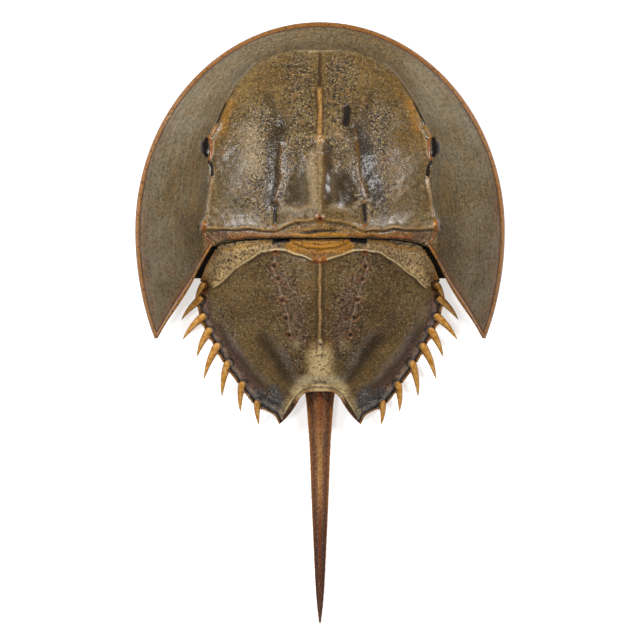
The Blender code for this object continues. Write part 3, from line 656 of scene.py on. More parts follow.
HEAD_MARKS = (
    # Front of the dome and the ridge that runs back to the eye
    Mark(((0, 180.3), (7.0, 180.2)), 1.3, 0.3, Tint.PALE, 0.5),
    Mark(((7.0, 180.2), (25.9, 178.5), (43.7, 170.5)), 2.6, 0.3, Tint.PALE, 0.12),
    Mark(EYE_LINE, 2.2, 0.7),
    Mark(EYE_LINE[1:3], 1.0, 0.0, Tint.DARK, 0.35, 1.3),
    Mark(EYE_LINE[2:4], 1.1, 0.0, Tint.DARK, 0.95, 1.3),
    Mark(((69.4, 130.4), (73.2, 123.0)), 1.2, 0.0, Tint.GOLD, 1.0, 1.6),
    Mark(((59.0, 146.0), (62.5, 136.0), (64.5, 127.0)), 5.0, -0.2, Tint.GOLD, 0.5),
    Mark(((45.0, 163.0), (55.5, 148.0), (63.5, 131.0), (69.5, 118.0)), 5.0, -0.3, Tint.GOLD, 0.12),
    # Lateral eye with its orange band, then the dark slit behind it
    Mark(((76.3, 113.6), (76.3, 118.2)), 4.8, 0.9),
    Mark(((75.4, 110.6), (76.5, 116.0), (75.2, 121.8)), 1.7, 0.0, Tint.GLOSS, 1.0, 2.2),
    Mark(((76.3, 114.0), (76.3, 118.0)), 3.1, 0.0, Tint.GLOSS, 1.0, 2.4),
    Mark(((74.0, 107.6), (72.3, 111.6), (72.2, 117.4), (74.0, 123.6)), 1.5, 0.3, Tint.AMBER, 1.0,
         1.6),
    Mark(((70.6, 112.0), (70.6, 120.0), (67.6, 127.0)), 1.2, 0.0, Tint.PALE, 0.4),
    Mark(((73.6, 106.0), (71.9, 102.6), (71.3, 97.6)), 1.6, 0.0, Tint.DARK, 1.0, 2.4),
    Mark(((71.3, 96.0), (73.4, 84.0), (75.2, 74.0), (77.4, 66.5)), 2.0, 0.6),
    Mark(((71.3, 96.0), (73.4, 84.0), (75.2, 74.0), (77.4, 66.5)), 0.8, 0.0, Tint.PALE, 0.6),
    Mark(((70.5, 96.0), (72.4, 84.0), (74.0, 74.0), (75.6, 66.5)), 0.9, 0.0, Tint.GOLD, 0.5),
    Mark(((72.6, 95.0), (74.6, 84.0), (76.6, 73.0)), 1.4, -0.2, Tint.DARK, 0.4),
    # Spine at the end of the eye ridge
    Mark(((76.9, 65.4), (77.1, 62.6)), 3.3, 2.3),
    Mark(((76.7, 65.6), (76.9, 62.4)), 2.7, 0.0, Tint.AMBER, 0.9, 2.0),
    Mark(((76.3, 64.8),), 1.7, 0.0, Tint.GOLD, 1.0, 2.0),
    Mark(((79.9, 63.2),), 1.7, 0.0, Tint.DARK, 0.95, 2.0),
    # Middle line: dark in front, golden, the simple eyes, then the ridge, with a painted highlight
    # along its crest and left flank and painted shade on its right flank
    Mark(((0, 178.0), (0, 112.0)), 2.6, 0.7),
    Mark(((0, 178.5), (0, 156.5)), 2.1, 0.0, Tint.DARK, 0.75),
    Mark(((0, 178.5), (0, 156.5)), 0.7, 0.0, Tint.AMBER, 0.6),
    Mark(((0, 154.5), (0, 125.0)), 1.8, 0.2, Tint.GOLD, 0.75, 1.4),
    Mark(((0.4, 154.5), (0.4, 125.0)), 0.7, 0.0, Tint.PALE, 0.35),
    Mark(((2.0, 154.5), (2.0, 125.0)), 1.0, -0.2, Tint.DARK, 0.6),
    Mark(((0, 121.0),), 4.4, 1.3),
    Mark(((0, 120.7),), 3.9, 0.0, Tint.GOLD, 0.85, 2.0),
    Mark(((0, 121.3),), 2.4, 0.0, Tint.PALE, 0.85, 2.0),
    Mark(((4.0, 119.0), (7.5, 114.0)), 1.8, -0.3, Tint.DARK, 0.55),
    Mark(((3.0, 122.5), (12.0, 124.5), (18.0, 121.0)), 1.6, 0.2, Tint.PALE, 0.3),
    Mark(((0, 113.0), (0, 74.0)), 9.0, 0.8),
    # Painted highlight along the ridge's crest and left flank, painted shade on its right flank
    Mark(((0, 116.0), (0, 73.0)), 2.0, 0.0, Tint.PALE, 0.45),
    Mark(((5.2, 112.0), (5.2, 96.0), (3.2, 78.0)), 5.0, 0.0, Tint.PALE, 0.42, 1.2, Side.LEFT),
    Mark(((5.0, 112.0), (5.0, 80.0)), 5.6, 0.0, Tint.DARK, 0.7, 1.2, Side.RIGHT),
    Mark(((3.4, 112.0), (3.4, 80.0)), 4.0, 0.0, Tint.GOLD, 0.35, 1.0, Side.RIGHT),
    Mark(((0, 68.3),), 4.4, 1.5),
    Mark(((0, 68.1),), 4.4, 0.0, Tint.AMBER, 0.9, 1.4),
    Mark(((0, 68.1),), 1.6, -0.7, Tint.DARK, 1.0, 2.0),
    # Furrows beside the heart
    Mark(LEFT_FURROW, 4.6, -0.7, Tint.DARK, 0.6, 1.0, Side.LEFT),
    Mark(LEFT_FURROW, 1.9, 0.0, Tint.GOLD, 0.75, 1.0, Side.LEFT),
    Mark(RIGHT_FURROW, 4.6, -0.7, Tint.DARK, 0.6, 1.0, Side.RIGHT),
    Mark(RIGHT_FURROW, 1.9, 0.0, Tint.GOLD, 0.75, 1.0, Side.RIGHT),
    Mark(((29.4, 77.5), (29.8, 65.0)), 2.8, -0.9),
    Mark(((29.4, 77.0), (29.8, 66.5)), 1.7, 0.0, Tint.DARK, 1.0, 1.4),
    Mark(((29.4, 79.5),), 1.3, 0.2, Tint.GOLD, 0.9, 1.4),
    Mark(((31.8, 77.0), (32.4, 66.0)), 1.3, 0.1, Tint.PALE, 0.3),
    Mark(((29.9, 63.4),), 1.8, 0.4, Tint.AMBER, 0.9, 1.6),
    Mark(((15.5, 94.0), (16.5, 83.0)), 12.0, -0.3, Tint.DARK, 0.55, 1.2, Side.LEFT),
    Mark(((15.5, 94.0), (16.5, 83.0)), 12.0, -0.3, Tint.DARK, 0.7, 1.2, Side.RIGHT),
    Mark(((7.0, 77.0), (14.0, 74.0), (21.0, 74.6), (26.5, 79.0)), 3.0, 0.3, Tint.PALE, 0.35),
    Mark(((17.7, 141.0), (17.3, 132.0)), 4.4, -0.4, Tint.DARK, 0.95, 1.5, Side.RIGHT),
    Mark(((14.0, 112.0), (13.0, 104.0)), 5.0, -0.3, Tint.DARK, 0.3),
    Mark(((34.0, 150.0), (29.0, 139.0), (30.0, 128.0)), 4.6, -0.4, Tint.DARK, 0.45),
    Mark(((24.0, 146.0), (23.0, 130.0)), 5.0, 0.0, Tint.DARK, 0.35),
    # Painted shade over the ground of the furrows, with painted highlights (glints) beside it
    Mark(((27.0, 128.0), (30.0, 112.0), (30.0, 92.0), (32.0, 80.0)), 10.0, -0.4, Tint.DARK, 0.68,
         1.2, Side.LEFT),
    Mark(((24.0, 128.0), (31.0, 114.0), (34.0, 98.0), (37.0, 84.0)), 10.0, -0.4, Tint.DARK, 0.7,
         1.2, Side.RIGHT),
    Mark(((29.0, 122.0), (31.0, 110.0), (32.0, 98.0)), 5.0, -0.2, Tint.SLATE, 0.75, 1.2,
         Side.RIGHT),
    # Painted highlights: pale glints where the lamps catch the dome
    Mark(((46.0, 126.0), (44.0, 104.0)), 11.0, 0.0, Tint.PALE, 0.34, 1.0, Side.LEFT),
    Mark(((27.0, 130.0), (34.0, 116.0), (38.0, 98.0)), 7.0, 0.0, Tint.PALE, 0.16, 1.0,
         Side.RIGHT),
    Mark(((54.0, 120.0), (52.0, 100.0), (54.0, 80.0)), 14.0, 0.0, Tint.GOLD, 0.16, 1.0,
         Side.RIGHT),
    Mark(((52.0, 124.0), (50.0, 102.0), (52.0, 80.0)), 14.0, 0.0, Tint.DARK, 0.2, 1.0,
         Side.RIGHT),
    # Border of the rear, the band behind it and the golden lip at the hinge
    Mark(BORDER_LINE, 1.6, 0.35),
    Mark(BORDER_LINE, 1.2, 0.0, Tint.GOLD, 0.55, 1.2),
    Mark(BORDER_LINE, 0.8, 0.0, Tint.PALE, 0.45),
    Mark(((73.0, 60.6), (46.0, 60.6), (30.0, 59.4)), 1.3, -0.2, Tint.DARK, 0.65),
    Mark(((30.0, 59.4), (24.0, 61.6), (19.7, 63.4), (11.3, 65.0), (4.0, 65.8)), 1.1, -0.2,
         Tint.DARK, 0.45),
    Mark(((0.0, 63.0), (10.0, 62.0), (27.0, 58.8), (60.0, 58.4)), 3.0, 0.0, Tint.GOLD, 0.4),
    Mark(((44.0, 57.4), (72.5, 57.0)), 5.0, 0.0, Tint.BLUSH, 0.85, 1.4),
    Mark(((66.0, 52.6), (73.0, 58.6)), 0.9, 0.0, Tint.PALE, 0.35),
    Mark(((70.0, 51.4), (74.6, 55.0), (76.4, 60.6)), 0.9, 0.2, Tint.AMBER, 0.8),
    Mark(((0, 60.1), (10.6, 60.0)), 1.0, -0.4, Tint.DARK, 1.0, 1.8),
    Mark(((0, 57.6), (17.5, 57.5)), 1.7, 0.4, Tint.GOLD, 0.9, 1.6),
    Mark(((17.5, 57.5), (40.0, 57.3), (60.0, 55.4)), 1.4, 0.2, Tint.AMBER, 0.8),
    Mark(((22.0, 55.8), (40.0, 56.0), (60.0, 54.0), (69.0, 51.8)), 1.5, 0.0, Tint.DARK, 0.75),
    # Browner streak on the flange
    Mark(((84.5, 104.0), (82.8, 92.0), (83.2, 76.0)), 7.0, 0.0, Tint.GOLD, 0.12),
    # Greyer and pitted grounds of the dome
    Mark(((58.0, 104.0), (60.0, 84.0), (52.0, 70.0)), 16.0, 0.0, Tint.ASH, 0.65),
    Mark(((8.0, 104.0), (9.0, 78.0)), 8.0, 0.0, Tint.ASH, 0.4),
    Mark(((36.0, 132.0), (32.0, 112.0), (36.0, 84.0)), 22.0, 0.0, Tint.PITTED, 1.0, 1.4),
    Mark(((14.0, 168.0), (12.0, 130.0), (12.0, 108.0)), 15.0, 0.0, Tint.PITTED, 0.75, 1.4),
    Mark(((58.0, 78.0), (54.0, 100.0), (50.0, 140.0)), 14.0, 0.0, Tint.PITTED, 0.3, 1.2),
    Mark(((0.0, 62.0), (60.0, 60.0)), 5.0, 0.0, Tint.PITTED, 0.5, 1.4),
)


@dataclass(frozen=True)
class HeadShield:
    """The prosoma: the big vaulted shield over the head, hollow beneath."""

    form: ShieldForm = ShieldForm()
    columns: int = 215
    dome_rows: int = 132
    flange_rows: int = 62
    under_rows: int = 14
    rim_bead: float = 0.35
    band_step: float = 1.1
    swell: float = 0.22
    # Millimetres off, length of a swell and its seed
    wander: tuple[float, float, int] = (0.35, 14.0, 3)
    # Millimetres from the edge at which the golden rim starts to fade and ends
    rim_fade: Pair = (1.8, 2.7)
    # Shares of the flange between which its colour sets in
    flange_fade: Pair = (-0.02, 0.06)
    # Angles between which the edge behind the hinge takes the rim's colours
    cheek_from: Pair = (80.0, 83.0)
    # Round the rim, from the upper face down: how far in, Z
    rim_rows: tuple[Pair, ...] = ((0.0, 2.35), (0.0, 1.5), (0.25, 0.6), (0.9, 0.0))
    # Largest share of the flange's width that the brim takes
    brim_share: float = 0.62
    # Row spacing: above 1 puts more rows near the eye ridge
    crowding: float = 1.15

    def relief(self, x: Array, y: Array) -> Array:
        """Height that the marks and the unevenness of growth add to the vault."""
        px, py = wandered(x, y, *self.wander)
        total = sum(mark.rise * mark.mask(px, py) for mark in HEAD_MARKS if mark.rise)
        border = np.array(sorted(BORDER_LINE))
        border_y = np.interp(np.abs(x), border[:, 0], border[:, 1])
        band = step(border_y - y, 0.3, 1.6) * (1 - step(np.abs(x), 73.0, 78.0))
        total = total - self.band_step * band
        total = total + self.swell * unevenness(x, y, 22.0, 5) * step(np.abs(x), 1.0, 10.0)
        return total + 0.06 * unevenness(x, y, 5.0, 6)

    def points(self) -> tuple[Array, int]:
        """Places round the wall, from the hinge over the rim and back inside.

        Returns:
            The places, and the number of rows on the upper face.
        """
        form = self.form
        angles = np.linspace(-form.tip_angle, form.tip_angle, 2 * self.columns + 1)
        outline = np.stack(form.outline(angles), -1)
        ridge = smooth_through(mirrored(form.eye_ridge), angles)
        edge = smooth_through(mirrored(form.rear_edge), angles)
        width = np.hypot(*(outline - ridge).T)[:, None]
        lift = form.rim_lift(angles)
        plan, heights = [], []
        for share in np.linspace(1, 0, self.dome_rows):
            plan.append(ridge + (edge - ridge) * share)
        for share in np.linspace(0, 1, self.flange_rows + 1)[1:-1] ** self.crowding:
            plan.append(ridge + (outline - ridge) * share)
        for place in plan:
            x, y = place.T
            rim_gap = np.hypot(*(outline - place).T)
            edge_gap = np.hypot(*(edge - place).T)
            free = np.abs(angles) > form.hinge_end
            gap = np.where(free, np.minimum(rim_gap, edge_gap), rim_gap)
            bead = self.rim_bead * hump(gap - 1.4, 1.4) - 0.12 * hump(gap - 3.4, 0.9)
            fade = step(rim_gap, 1.0, 4.0)
            heights.append(form.height_at(x, y) + self.relief(x, y) * fade + bead)
        upper = len(plan)
        for inset, z in self.rim_rows:
            plan.append(outline + (ridge - outline) * np.minimum(inset / width, 0.12))
            heights.append(z + lift)
        wanted = form.brim + form.brim_more_in_front * hump(np.abs(angles), 90.0)[:, None]
        brim = np.minimum(wanted / width, self.brim_share)
        plan.append(outline + (ridge - outline) * brim * 0.5)
        heights.append(0.05 + lift)
        plan.append(outline + (ridge - outline) * brim)
        heights.append(0.0 + lift)
        inner = [(outline, ridge, brim + (1 - brim) * s) for s in np.linspace(0, 1, 7) ** 1.5]
        inner += [(ridge, edge, s) for s in np.linspace(0, 1, self.under_rows)[1:]]
        for start, end, share in inner:
            place = start + (end - start) * share
            x, y = place.T
            z = form.height_at(x, y)
            wall = form.wall * self.steepness(x, y)
            floor = np.minimum(lift + 0.35 * z, z - 0.6)
            plan.append(place)
            heights.append(np.maximum(z - wall, floor))
        plan.append(plan[0])
        heights.append(heights[0])
        places = [np.column_stack([place, z * np.ones(len(angles))])
                  for place, z in zip(plan, heights)]
        return np.array(places), upper

    def steepness(self, x: Array, y: Array) -> Array:
        """How much longer the wall is upright than square to its face."""
        reach = 0.5
        across = self.form.height_at(x + reach, y) - self.form.height_at(x - reach, y)
        along = self.form.height_at(x, y + reach) - self.form.height_at(x, y - reach)
        return np.minimum(np.sqrt(1 + (across / 2 / reach) ** 2 + (along / 2 / reach) ** 2), 1.7)

    def dress(self, piece: bpy.types.Object, upper: int) -> None:
        """Paints the masks of the marks and the rim.

        Args:
            piece: The shield.
            upper: The number of rows on its upper face.
        """
        mesh, form = piece.data, self.form
        x, y, _ = places_of(mesh)
        row = layer_of(mesh, "row")
        column = layer_of(mesh, "column")
        outside = row < upper + len(self.rim_rows) - 1
        angles = (column / self.columns - 1) * form.tip_angle
        outline = np.stack(form.outline(angles), -1)
        edge = smooth_through(mirrored(form.rear_edge), angles)
        rim_gap = np.hypot(x - outline[:, 0], y - outline[:, 1])
        edge_gap = np.hypot(x - edge[:, 0], y - edge[:, 1])
        turn = np.abs(angles)
        cheek = step(turn, *self.cheek_from)
        gap = np.minimum(rim_gap, edge_gap + 50 * (1 - cheek))
        share, seen_at = form.inside(x, y)
        at_ridge = form.ridge_share(seen_at)
        out = (share - at_ridge) / (1 - at_ridge)
        px, py = wandered(x, y, *self.wander)
        rim = 1.0 - step(gap, *self.rim_fade)
        on_flange = step(out, *self.flange_fade)
        bead = 0.6 + 0.35 * cheek * (edge_gap < rim_gap)
        # Painted sheen: the front of the flange painted paler as a highlight
        painted_front_sheen = 0.13 * hump(turn - 42, 34.0) + 0.05 * hump(angles - 70, 60.0)
        shaded_rim = 0.25 * rim * (0.3 + 0.7 * hump(angles, 70.0))
        # Painted shade: the flange darkened in its hollow next to the eye ridge, and a little
        # darker from the sides back
        hollow = 0.3 * hump(out, 0.55) + 0.12 * step(turn, 70.0, 95.0)
        more = {
            Tint.GOLD: [0.5 * rim],
            Tint.AMBER: [
                rim, bead * hump(gap - 2.8, 1.1), 0.3 * (1 - step(gap, 2.5, 9.0)) * cheek,
            ],
            Tint.DARK: [
                0.6 * hump(gap - 3.4, 0.8), shaded_rim + 0.3 * (1 - step(gap, 0.3, 1.1)),
                hollow * step(out, -0.02, 0.04),
            ],
            Tint.ASH: [
                on_flange * (1 - step(out, 0.92, 1.0)) * (0.5 + 0.45 * hump(turn - 52, 42.0)),
            ],
            Tint.PALE: [
                painted_front_sheen * on_flange * step(gap, 3.0, 6.0),
                # Painted highlight: a pale line along the inside of the rim
                0.4 * hump(gap - 2.0, 0.8) * step(turn, 35.0, 60.0),
            ],
        }
        for tint in Tint:
            shown = strongest(HEAD_MARKS, tint, px, py, more.get(tint, []))
            paint(mesh, tint.value, np.where(outside, shown, 0))
        paint(mesh, "around", column / (2 * self.columns))
        paint(mesh, "outward", out)

    def build(self, finish: bpy.types.Material) -> bpy.types.Object:
        """Makes the shield and gives it its finish."""
        points, upper = self.points()
        piece = make_piece(grid_mesh(points, wrap=True), "head_shield")
        self.dress(piece, upper)
        piece.data.materials.append(finish)
        return piece


PIT_COLUMN = (
    (29.7, 43.7), (31.5, 37.9), (28.3, 28.1), (24.6, 14.9), (21.1, 2.8), (20.0, -2.9),
    (18.9, -9.3),
)

REAR_MARKS = (
    Mark(CREST, 1.9, 0.55),
    Mark(CREST, 0.85, 0.0, Tint.PALE, 0.85, 1.2),
    Mark(((2.0, 39.6), (12.2, 42.4), (22.4, 45.8), (29.5, 46.4), (38.6, 44.6), (47.0, 38.9)), 1.5,
         -0.2, Tint.DARK, 0.45),
    Mark(((56.0, 33.6), (69.0, 22.4)), 1.6, -0.2, Tint.DARK, 0.5),
    Mark(((0, 41.0), (4.3, 41.0)), 2.6, 1.0, Tint.AMBER, 0.95, 1.6),
    Mark(((0, 41.3),), 1.2, 0.3, Tint.PALE, 0.8),
    # The front between the crest and the hinge
    Mark(((0, 52.0), (0, 45.0)), 10.0, 0.0, Tint.AMBER, 0.4),
    Mark(((0, 50.0), (18.0, 50.6)), 6.5, 0.0, Tint.GOLD, 0.95, 1.6),
    Mark(((0, 49.2), (9.0, 50.4), (16.0, 52.8), (20.0, 55.0)), 1.2, 0.5, Tint.AMBER, 0.9),
    Mark(((0, 47.6), (9.6, 48.8), (17.5, 51.6)), 1.1, -0.3, Tint.DARK, 0.4),
    Mark(((0, 51.8), (9.0, 52.8), (15.0, 54.6)), 0.9, 0.3, Tint.GOLD, 0.7),
    Mark(((2.0, 43.0), (12.0, 46.0), (22.0, 49.8)), 1.6, 0.0, Tint.GOLD, 0.5),
    Mark(((21.5, 54.6), (29.0, 53.4)), 2.3, -0.7, Tint.DARK, 1.0, 2.4),
    Mark(((66.0, 47.8), (58.3, 48.8), (46.3, 51.4), (38.3, 53.4), (33.0, 53.4)), 1.6, 0.4,
         Tint.GOLD, 0.8),
    Mark(((36.0, 50.0), (58.0, 46.0)), 5.0, 0.0, Tint.PITTED, 0.6),
    # Painted light: the steep side beside the slit painted golden and pale to lift its shade
    Mark(((71.5, 44.5), (76.0, 35.0), (78.5, 27.0)), 7.0, 0.0, Tint.GOLD, 0.6, 1.2),
    Mark(((70.0, 42.0), (74.0, 33.0)), 5.0, 0.0, Tint.PALE, 0.3),
    Mark(((77.0, 32.0), (77.6, 22.0)), 4.6, 0.0, Tint.AMBER, 0.7, 1.4),
    # Keel, its small node and the pit before the tail
    Mark(((0, 38.0), (0, -42.0)), 2.2, 0.6),
    Mark(((0, 38.0), (0, -34.0)), 1.3, 0.0, Tint.GOLD, 0.45),
    Mark(((0, 38.0), (0, -34.0)), 1.0, 0.0, Tint.PALE, 0.35),
    Mark(((2.1, 38.0), (2.1, -18.0)), 1.5, -0.2, Tint.DARK, 0.5),
    Mark(((0, -12.4),), 2.4, 0.6, Tint.PALE, 0.8, 1.4),
    Mark(((0, -14.2),), 1.3, -0.5, Tint.DARK, 1.0, 1.8),
    Mark(((0, -19.0), (0, -42.0)), 13.0, 0.0, Tint.GOLD, 0.35, 1.3),
    Mark(((0, -22.0), (0, -42.0)), 12.0, 0.0, Tint.PALE, 0.9, 1.2),
    Mark(((0, -21.6), (3.6, -22.0)), 1.0, -0.2, Tint.DARK, 0.7),
    Mark(((0, -39.4), (3.0, -39.9)), 2.2, -0.5, Tint.DARK, 0.6, 1.2),
    Mark(((6.0, -37.0), (12.5, -41.0), (15.6, -47.0)), 6.6, 0.4, Tint.PALE, 0.9),
    # Furrow through the muscle pits
    Mark(PIT_COLUMN, 3.4, -0.6, Tint.DARK, 0.35),
    Mark(PIT_COLUMN, 2.0, 0.0, Tint.BLUSH, 1.0, 1.4),
    Mark(PIT_COLUMN, 1.0, 0.0, Tint.PALE, 0.5),
    Mark(((29.7, 46.5),), 2.3, 0.9, Tint.AMBER, 1.0, 2.0),
    # Tail lobes: blue-grey, with a pale fold near the inner edge
    Mark(((41.0, -50.0), (31.0, -58.0), (29.0, -61.0)), 8.5, 0.0, Tint.SLATE, 1.0, 1.6),
    Mark(((31.0, -45.0), (27.0, -53.0), (27.5, -60.0)), 6.0, 0.0, Tint.SLATE, 0.95, 1.4),
    Mark(((33.0, -50.0), (28.0, -58.0)), 9.0, 0.0, Tint.PITTED, 1.0, 1.6),
    Mark(((17.8, -51.0), (21.6, -56.5), (25.2, -63.5)), 1.1, 0.9, Tint.PALE, 0.9),
    Mark(((20.6, -50.0), (24.0, -56.0), (26.6, -61.0)), 3.6, 0.0, Tint.PALE, 0.35),
    Mark(((17.2, -54.2), (20.6, -59.8), (24.6, -64.6)), 1.8, -0.8, Tint.DARK, 0.75),
    Mark(((27.2, -66.0), (27.2, -67.8)), 2.6, 0.0, Tint.AMBER, 0.85, 1.6),
    # Folds of the side plate: painted shade in a hollow, a tan swelling and painted shade in the
    # hollow at the margin
    Mark(((37.0, -12.0), (31.0, -20.0), (22.0, -36.0)), 9.0, -1.4, Tint.DARK, 0.55),
    Mark(((52.0, -13.0), (40.0, -26.0), (26.0, -42.0)), 9.0, 0.9, Tint.GOLD, 0.05),
    Mark(((66.0, -4.0), (56.0, -21.0), (44.0, -36.0), (36.0, -44.0)), 6.0, -0.4, Tint.DARK, 0.5),
    Mark(((17.0, -30.0), (20.0, -18.0), (30.0, -5.0)), 9.0, 0.5),
    # Broad purplish grounds
    Mark(((22.0, 26.0), (16.0, 10.0), (14.0, -10.0)), 11.0, 0.0, Tint.BLUSH, 0.4),
    Mark(((16.0, -15.0),), 6.0, 0.0, Tint.PALE, 0.25),
    Mark(((62.0, -14.0), (50.0, -34.0), (40.0, -44.0)), 8.0, 0.0, Tint.BLUSH, 0.8),
    Mark(((28.0, 36.0), (20.0, 10.0), (14.0, -20.0)), 20.0, 0.0, Tint.PITTED, 0.75, 1.3),
    Mark(((66.0, 10.0), (58.0, -8.0)), 10.0, 0.0, Tint.PITTED, 0.6),
    Mark(((50.0, 20.0), (40.0, 0.0)), 24.0, 0.0, Tint.PITTED, 0.3),
)


@dataclass(frozen=True)
class RearShield:
    """The opisthosoma: the notched shield behind the hinge, with two tail lobes."""

    head: ShieldForm = ShieldForm()
    gap: float = 0.7
    rows: int = 278
    columns: int = 88
    wall: float = 2.2
    notch_depth: float = 1.6
    notch_half: float = 2.7
    notch_from: float = 0.9
    tooth: float = 0.9
    fall_power: float = 1.75
    pit_depth: float = 1.7
    pit_radius: float = 2.1
    pit_lip: float = 0.45
    # Millimetres off, length of a swell and its seed
    wander: tuple[float, float, int] = (0.3, 12.0, 13)
    # From the hinge to the tip of the tail lobe: X, Y, Z
    side_edge: tuple[Place, ...] = (
        (69.0, 48.6, 43.0), (72.5, 42.7, 37.0), (76.1, 36.9, 30.5), (78.8, 30.5, 24.0),
        (80.6, 22.0, 19.0), (81.3, 14.0, 17.0), (80.6, 6.0, 16.0), (77.9, -2.0, 15.5),
        (73.6, -10.0, 15.0), (68.2, -20.0, 14.3), (63.3, -29.0, 13.6), (57.0, -37.5, 12.8),
        (50.6, -46.3, 12.0), (44.2, -54.0, 11.2), (36.2, -58.6, 10.2), (30.2, -62.2, 9.4),
        (27.2, -68.0, 8.6),
    )
    # From above the tail out to the tip of the lobe: share across, X, Y
    tail_edge: tuple[Triple, ...] = (
        (0.0, 0.0, -45.8), (0.16, 6.0, -45.9), (0.3, 10.4, -47.3), (0.44, 13.0, -49.8),
        (0.58, 15.9, -54.8), (0.72, 19.2, -59.5), (0.86, 23.1, -64.2), (1.0, 27.2, -68.0),
    )
    # Along the middle line: share of the way back, Z
    middle: tuple[Pair, ...] = (
        (0.0, 62.5), (0.15, 61.0), (0.35, 56.5), (0.55, 49.5), (0.75, 39.0), (1.0, 25.0),
    )
    # Roots of the side spines, from the front one back: X, Y
    roots: tuple[Point, ...] = (
        (77.6, 24.6), (79.3, 15.2), (77.3, 3.8), (73.2, -5.4), (67.8, -15.6), (60.6, -27.0),
        (51.3, -41.1), (41.2, -53.2),
    )

    def edge_length(self) -> float:
        """Length of the plain side edge in plan."""
        table = np.array(self.side_edge)
        return float(np.hypot(*np.diff(table[:, :2], axis=0).T).sum())

    def side(self, share: Array) -> Array:
        """X, Y, Z of the plain side edge, by share of its length."""
        table = np.array(self.side_edge)
        runs = np.hypot(*np.diff(table[:, :2], axis=0).T)
        along = np.concatenate([[0], np.cumsum(runs)])
        return smooth_through(np.column_stack([along / along[-1], table]), share)

    def root_shares(self) -> list[float]:
        """Share of the side edge at which each spine has its root."""
        shares = np.linspace(0, 1, 1601)
        edge = self.side(shares)
        return [float(shares[np.argmin(np.hypot(edge[:, 0] - x, edge[:, 1] - y))])
                for x, y in self.roots]

    def notches(self, share: Array) -> Array:
        """X and Y by which the side edge moves in at each spine and out behind it."""
        reach = 1e-3
        ahead = self.side(np.minimum(share + reach, 1)) - self.side(np.maximum(share - reach, 0))
        ahead = ahead[:, :2] / np.linalg.norm(ahead[:, :2], axis=1)[:, None]
        outward = np.column_stack([-ahead[:, 1], ahead[:, 0]])
        outward = outward * np.sign(outward[:, :1] + 1e-9)
        push = np.zeros(len(share))
        for place in self.root_shares():
            off = (share - place) * self.edge_length()
            round_off = np.clip(1 - ((off - 0.3) / self.notch_half) ** 2, 0, 1)
            push -= self.notch_depth * np.sqrt(round_off)
            push += self.tooth * hump(off - 1.35 * self.notch_half, 2.4)
        return outward * push[:, None]

    def from_side(self, x: Array, y: Array) -> Array:
        """Distance in plan from the plain side edge, without its notches."""
        return distance_to_path(np.abs(x), y, [row[:2] for row in self.side_edge])

    def relief(self, x: Array, y: Array) -> Array:
        """Height that the marks, pits and unevenness add."""
        px, py = wandered(x, y, *self.wander)
        total = sum(mark.rise * mark.mask(px, py) for mark in REAR_MARKS if mark.rise)
        for pit_x, pit_y in MUSCLE_PITS:
            gap = np.hypot(np.abs(px) - pit_x, py - pit_y)
            lip = self.pit_lip * hump(gap - 2.4, 1.3)
            total = total - self.pit_depth * hump(gap, self.pit_radius) + lip
        inward = self.from_side(x, y)
        behind = 1 - step(y, 10.0, 24.0)
        total = total - (0.7 * hump(inward - 2.4, 1.7) - 0.35 * hump(inward - 5.0, 2.4)) * behind
        total = total + 0.25 * unevenness(x, y, 18.0, 15) * step(np.abs(x), 1.0, 8.0)
        return total + 0.06 * unevenness(x, y, 4.0, 16)

    def points(self) -> Array:
        """Places of the upper face, row by row from the hinge to the tail."""
        back = np.linspace(0, 1, self.rows)
        across = np.linspace(-1, 1, 2 * self.columns + 1)
        front = self.side(np.zeros(1))[0]
        lobe = np.array(self.tail_edge[-1][1:])
        tail = smooth_through(self.tail_edge, np.abs(across))
        hinge_x = front[0] * across
        hinge_y = self.head.hinge_y(hinge_x) - self.gap
        hinge_y = np.where(np.abs(across) > 0.985, front[1], hinge_y)
        at_edge = np.clip((np.abs(across) - self.notch_from) / (1 - self.notch_from), 0, 1) ** 1.5
        middle = smooth_through(self.middle, back)[:, 0]
        rows = []
        for s, side, push, top in zip(back, self.side(back), self.notches(back), middle):
            x = (1 - s) * hinge_x + s * tail[:, 0] * np.sign(across) + side[0] * across
            x = x - ((1 - s) * front[0] + s * lobe[0]) * across
            x = x + push[0] * at_edge * np.sign(across)
            y = (1 - s) * hinge_y + s * tail[:, 1] + side[1] + push[1] * at_edge
            y = y - ((1 - s) * front[1] + s * lobe[1])
            z = side[2] + (top - side[2]) * (1 - np.abs(across) ** self.fall_power)
            rows.append(np.column_stack([x, y, z]))
        return np.array(rows)

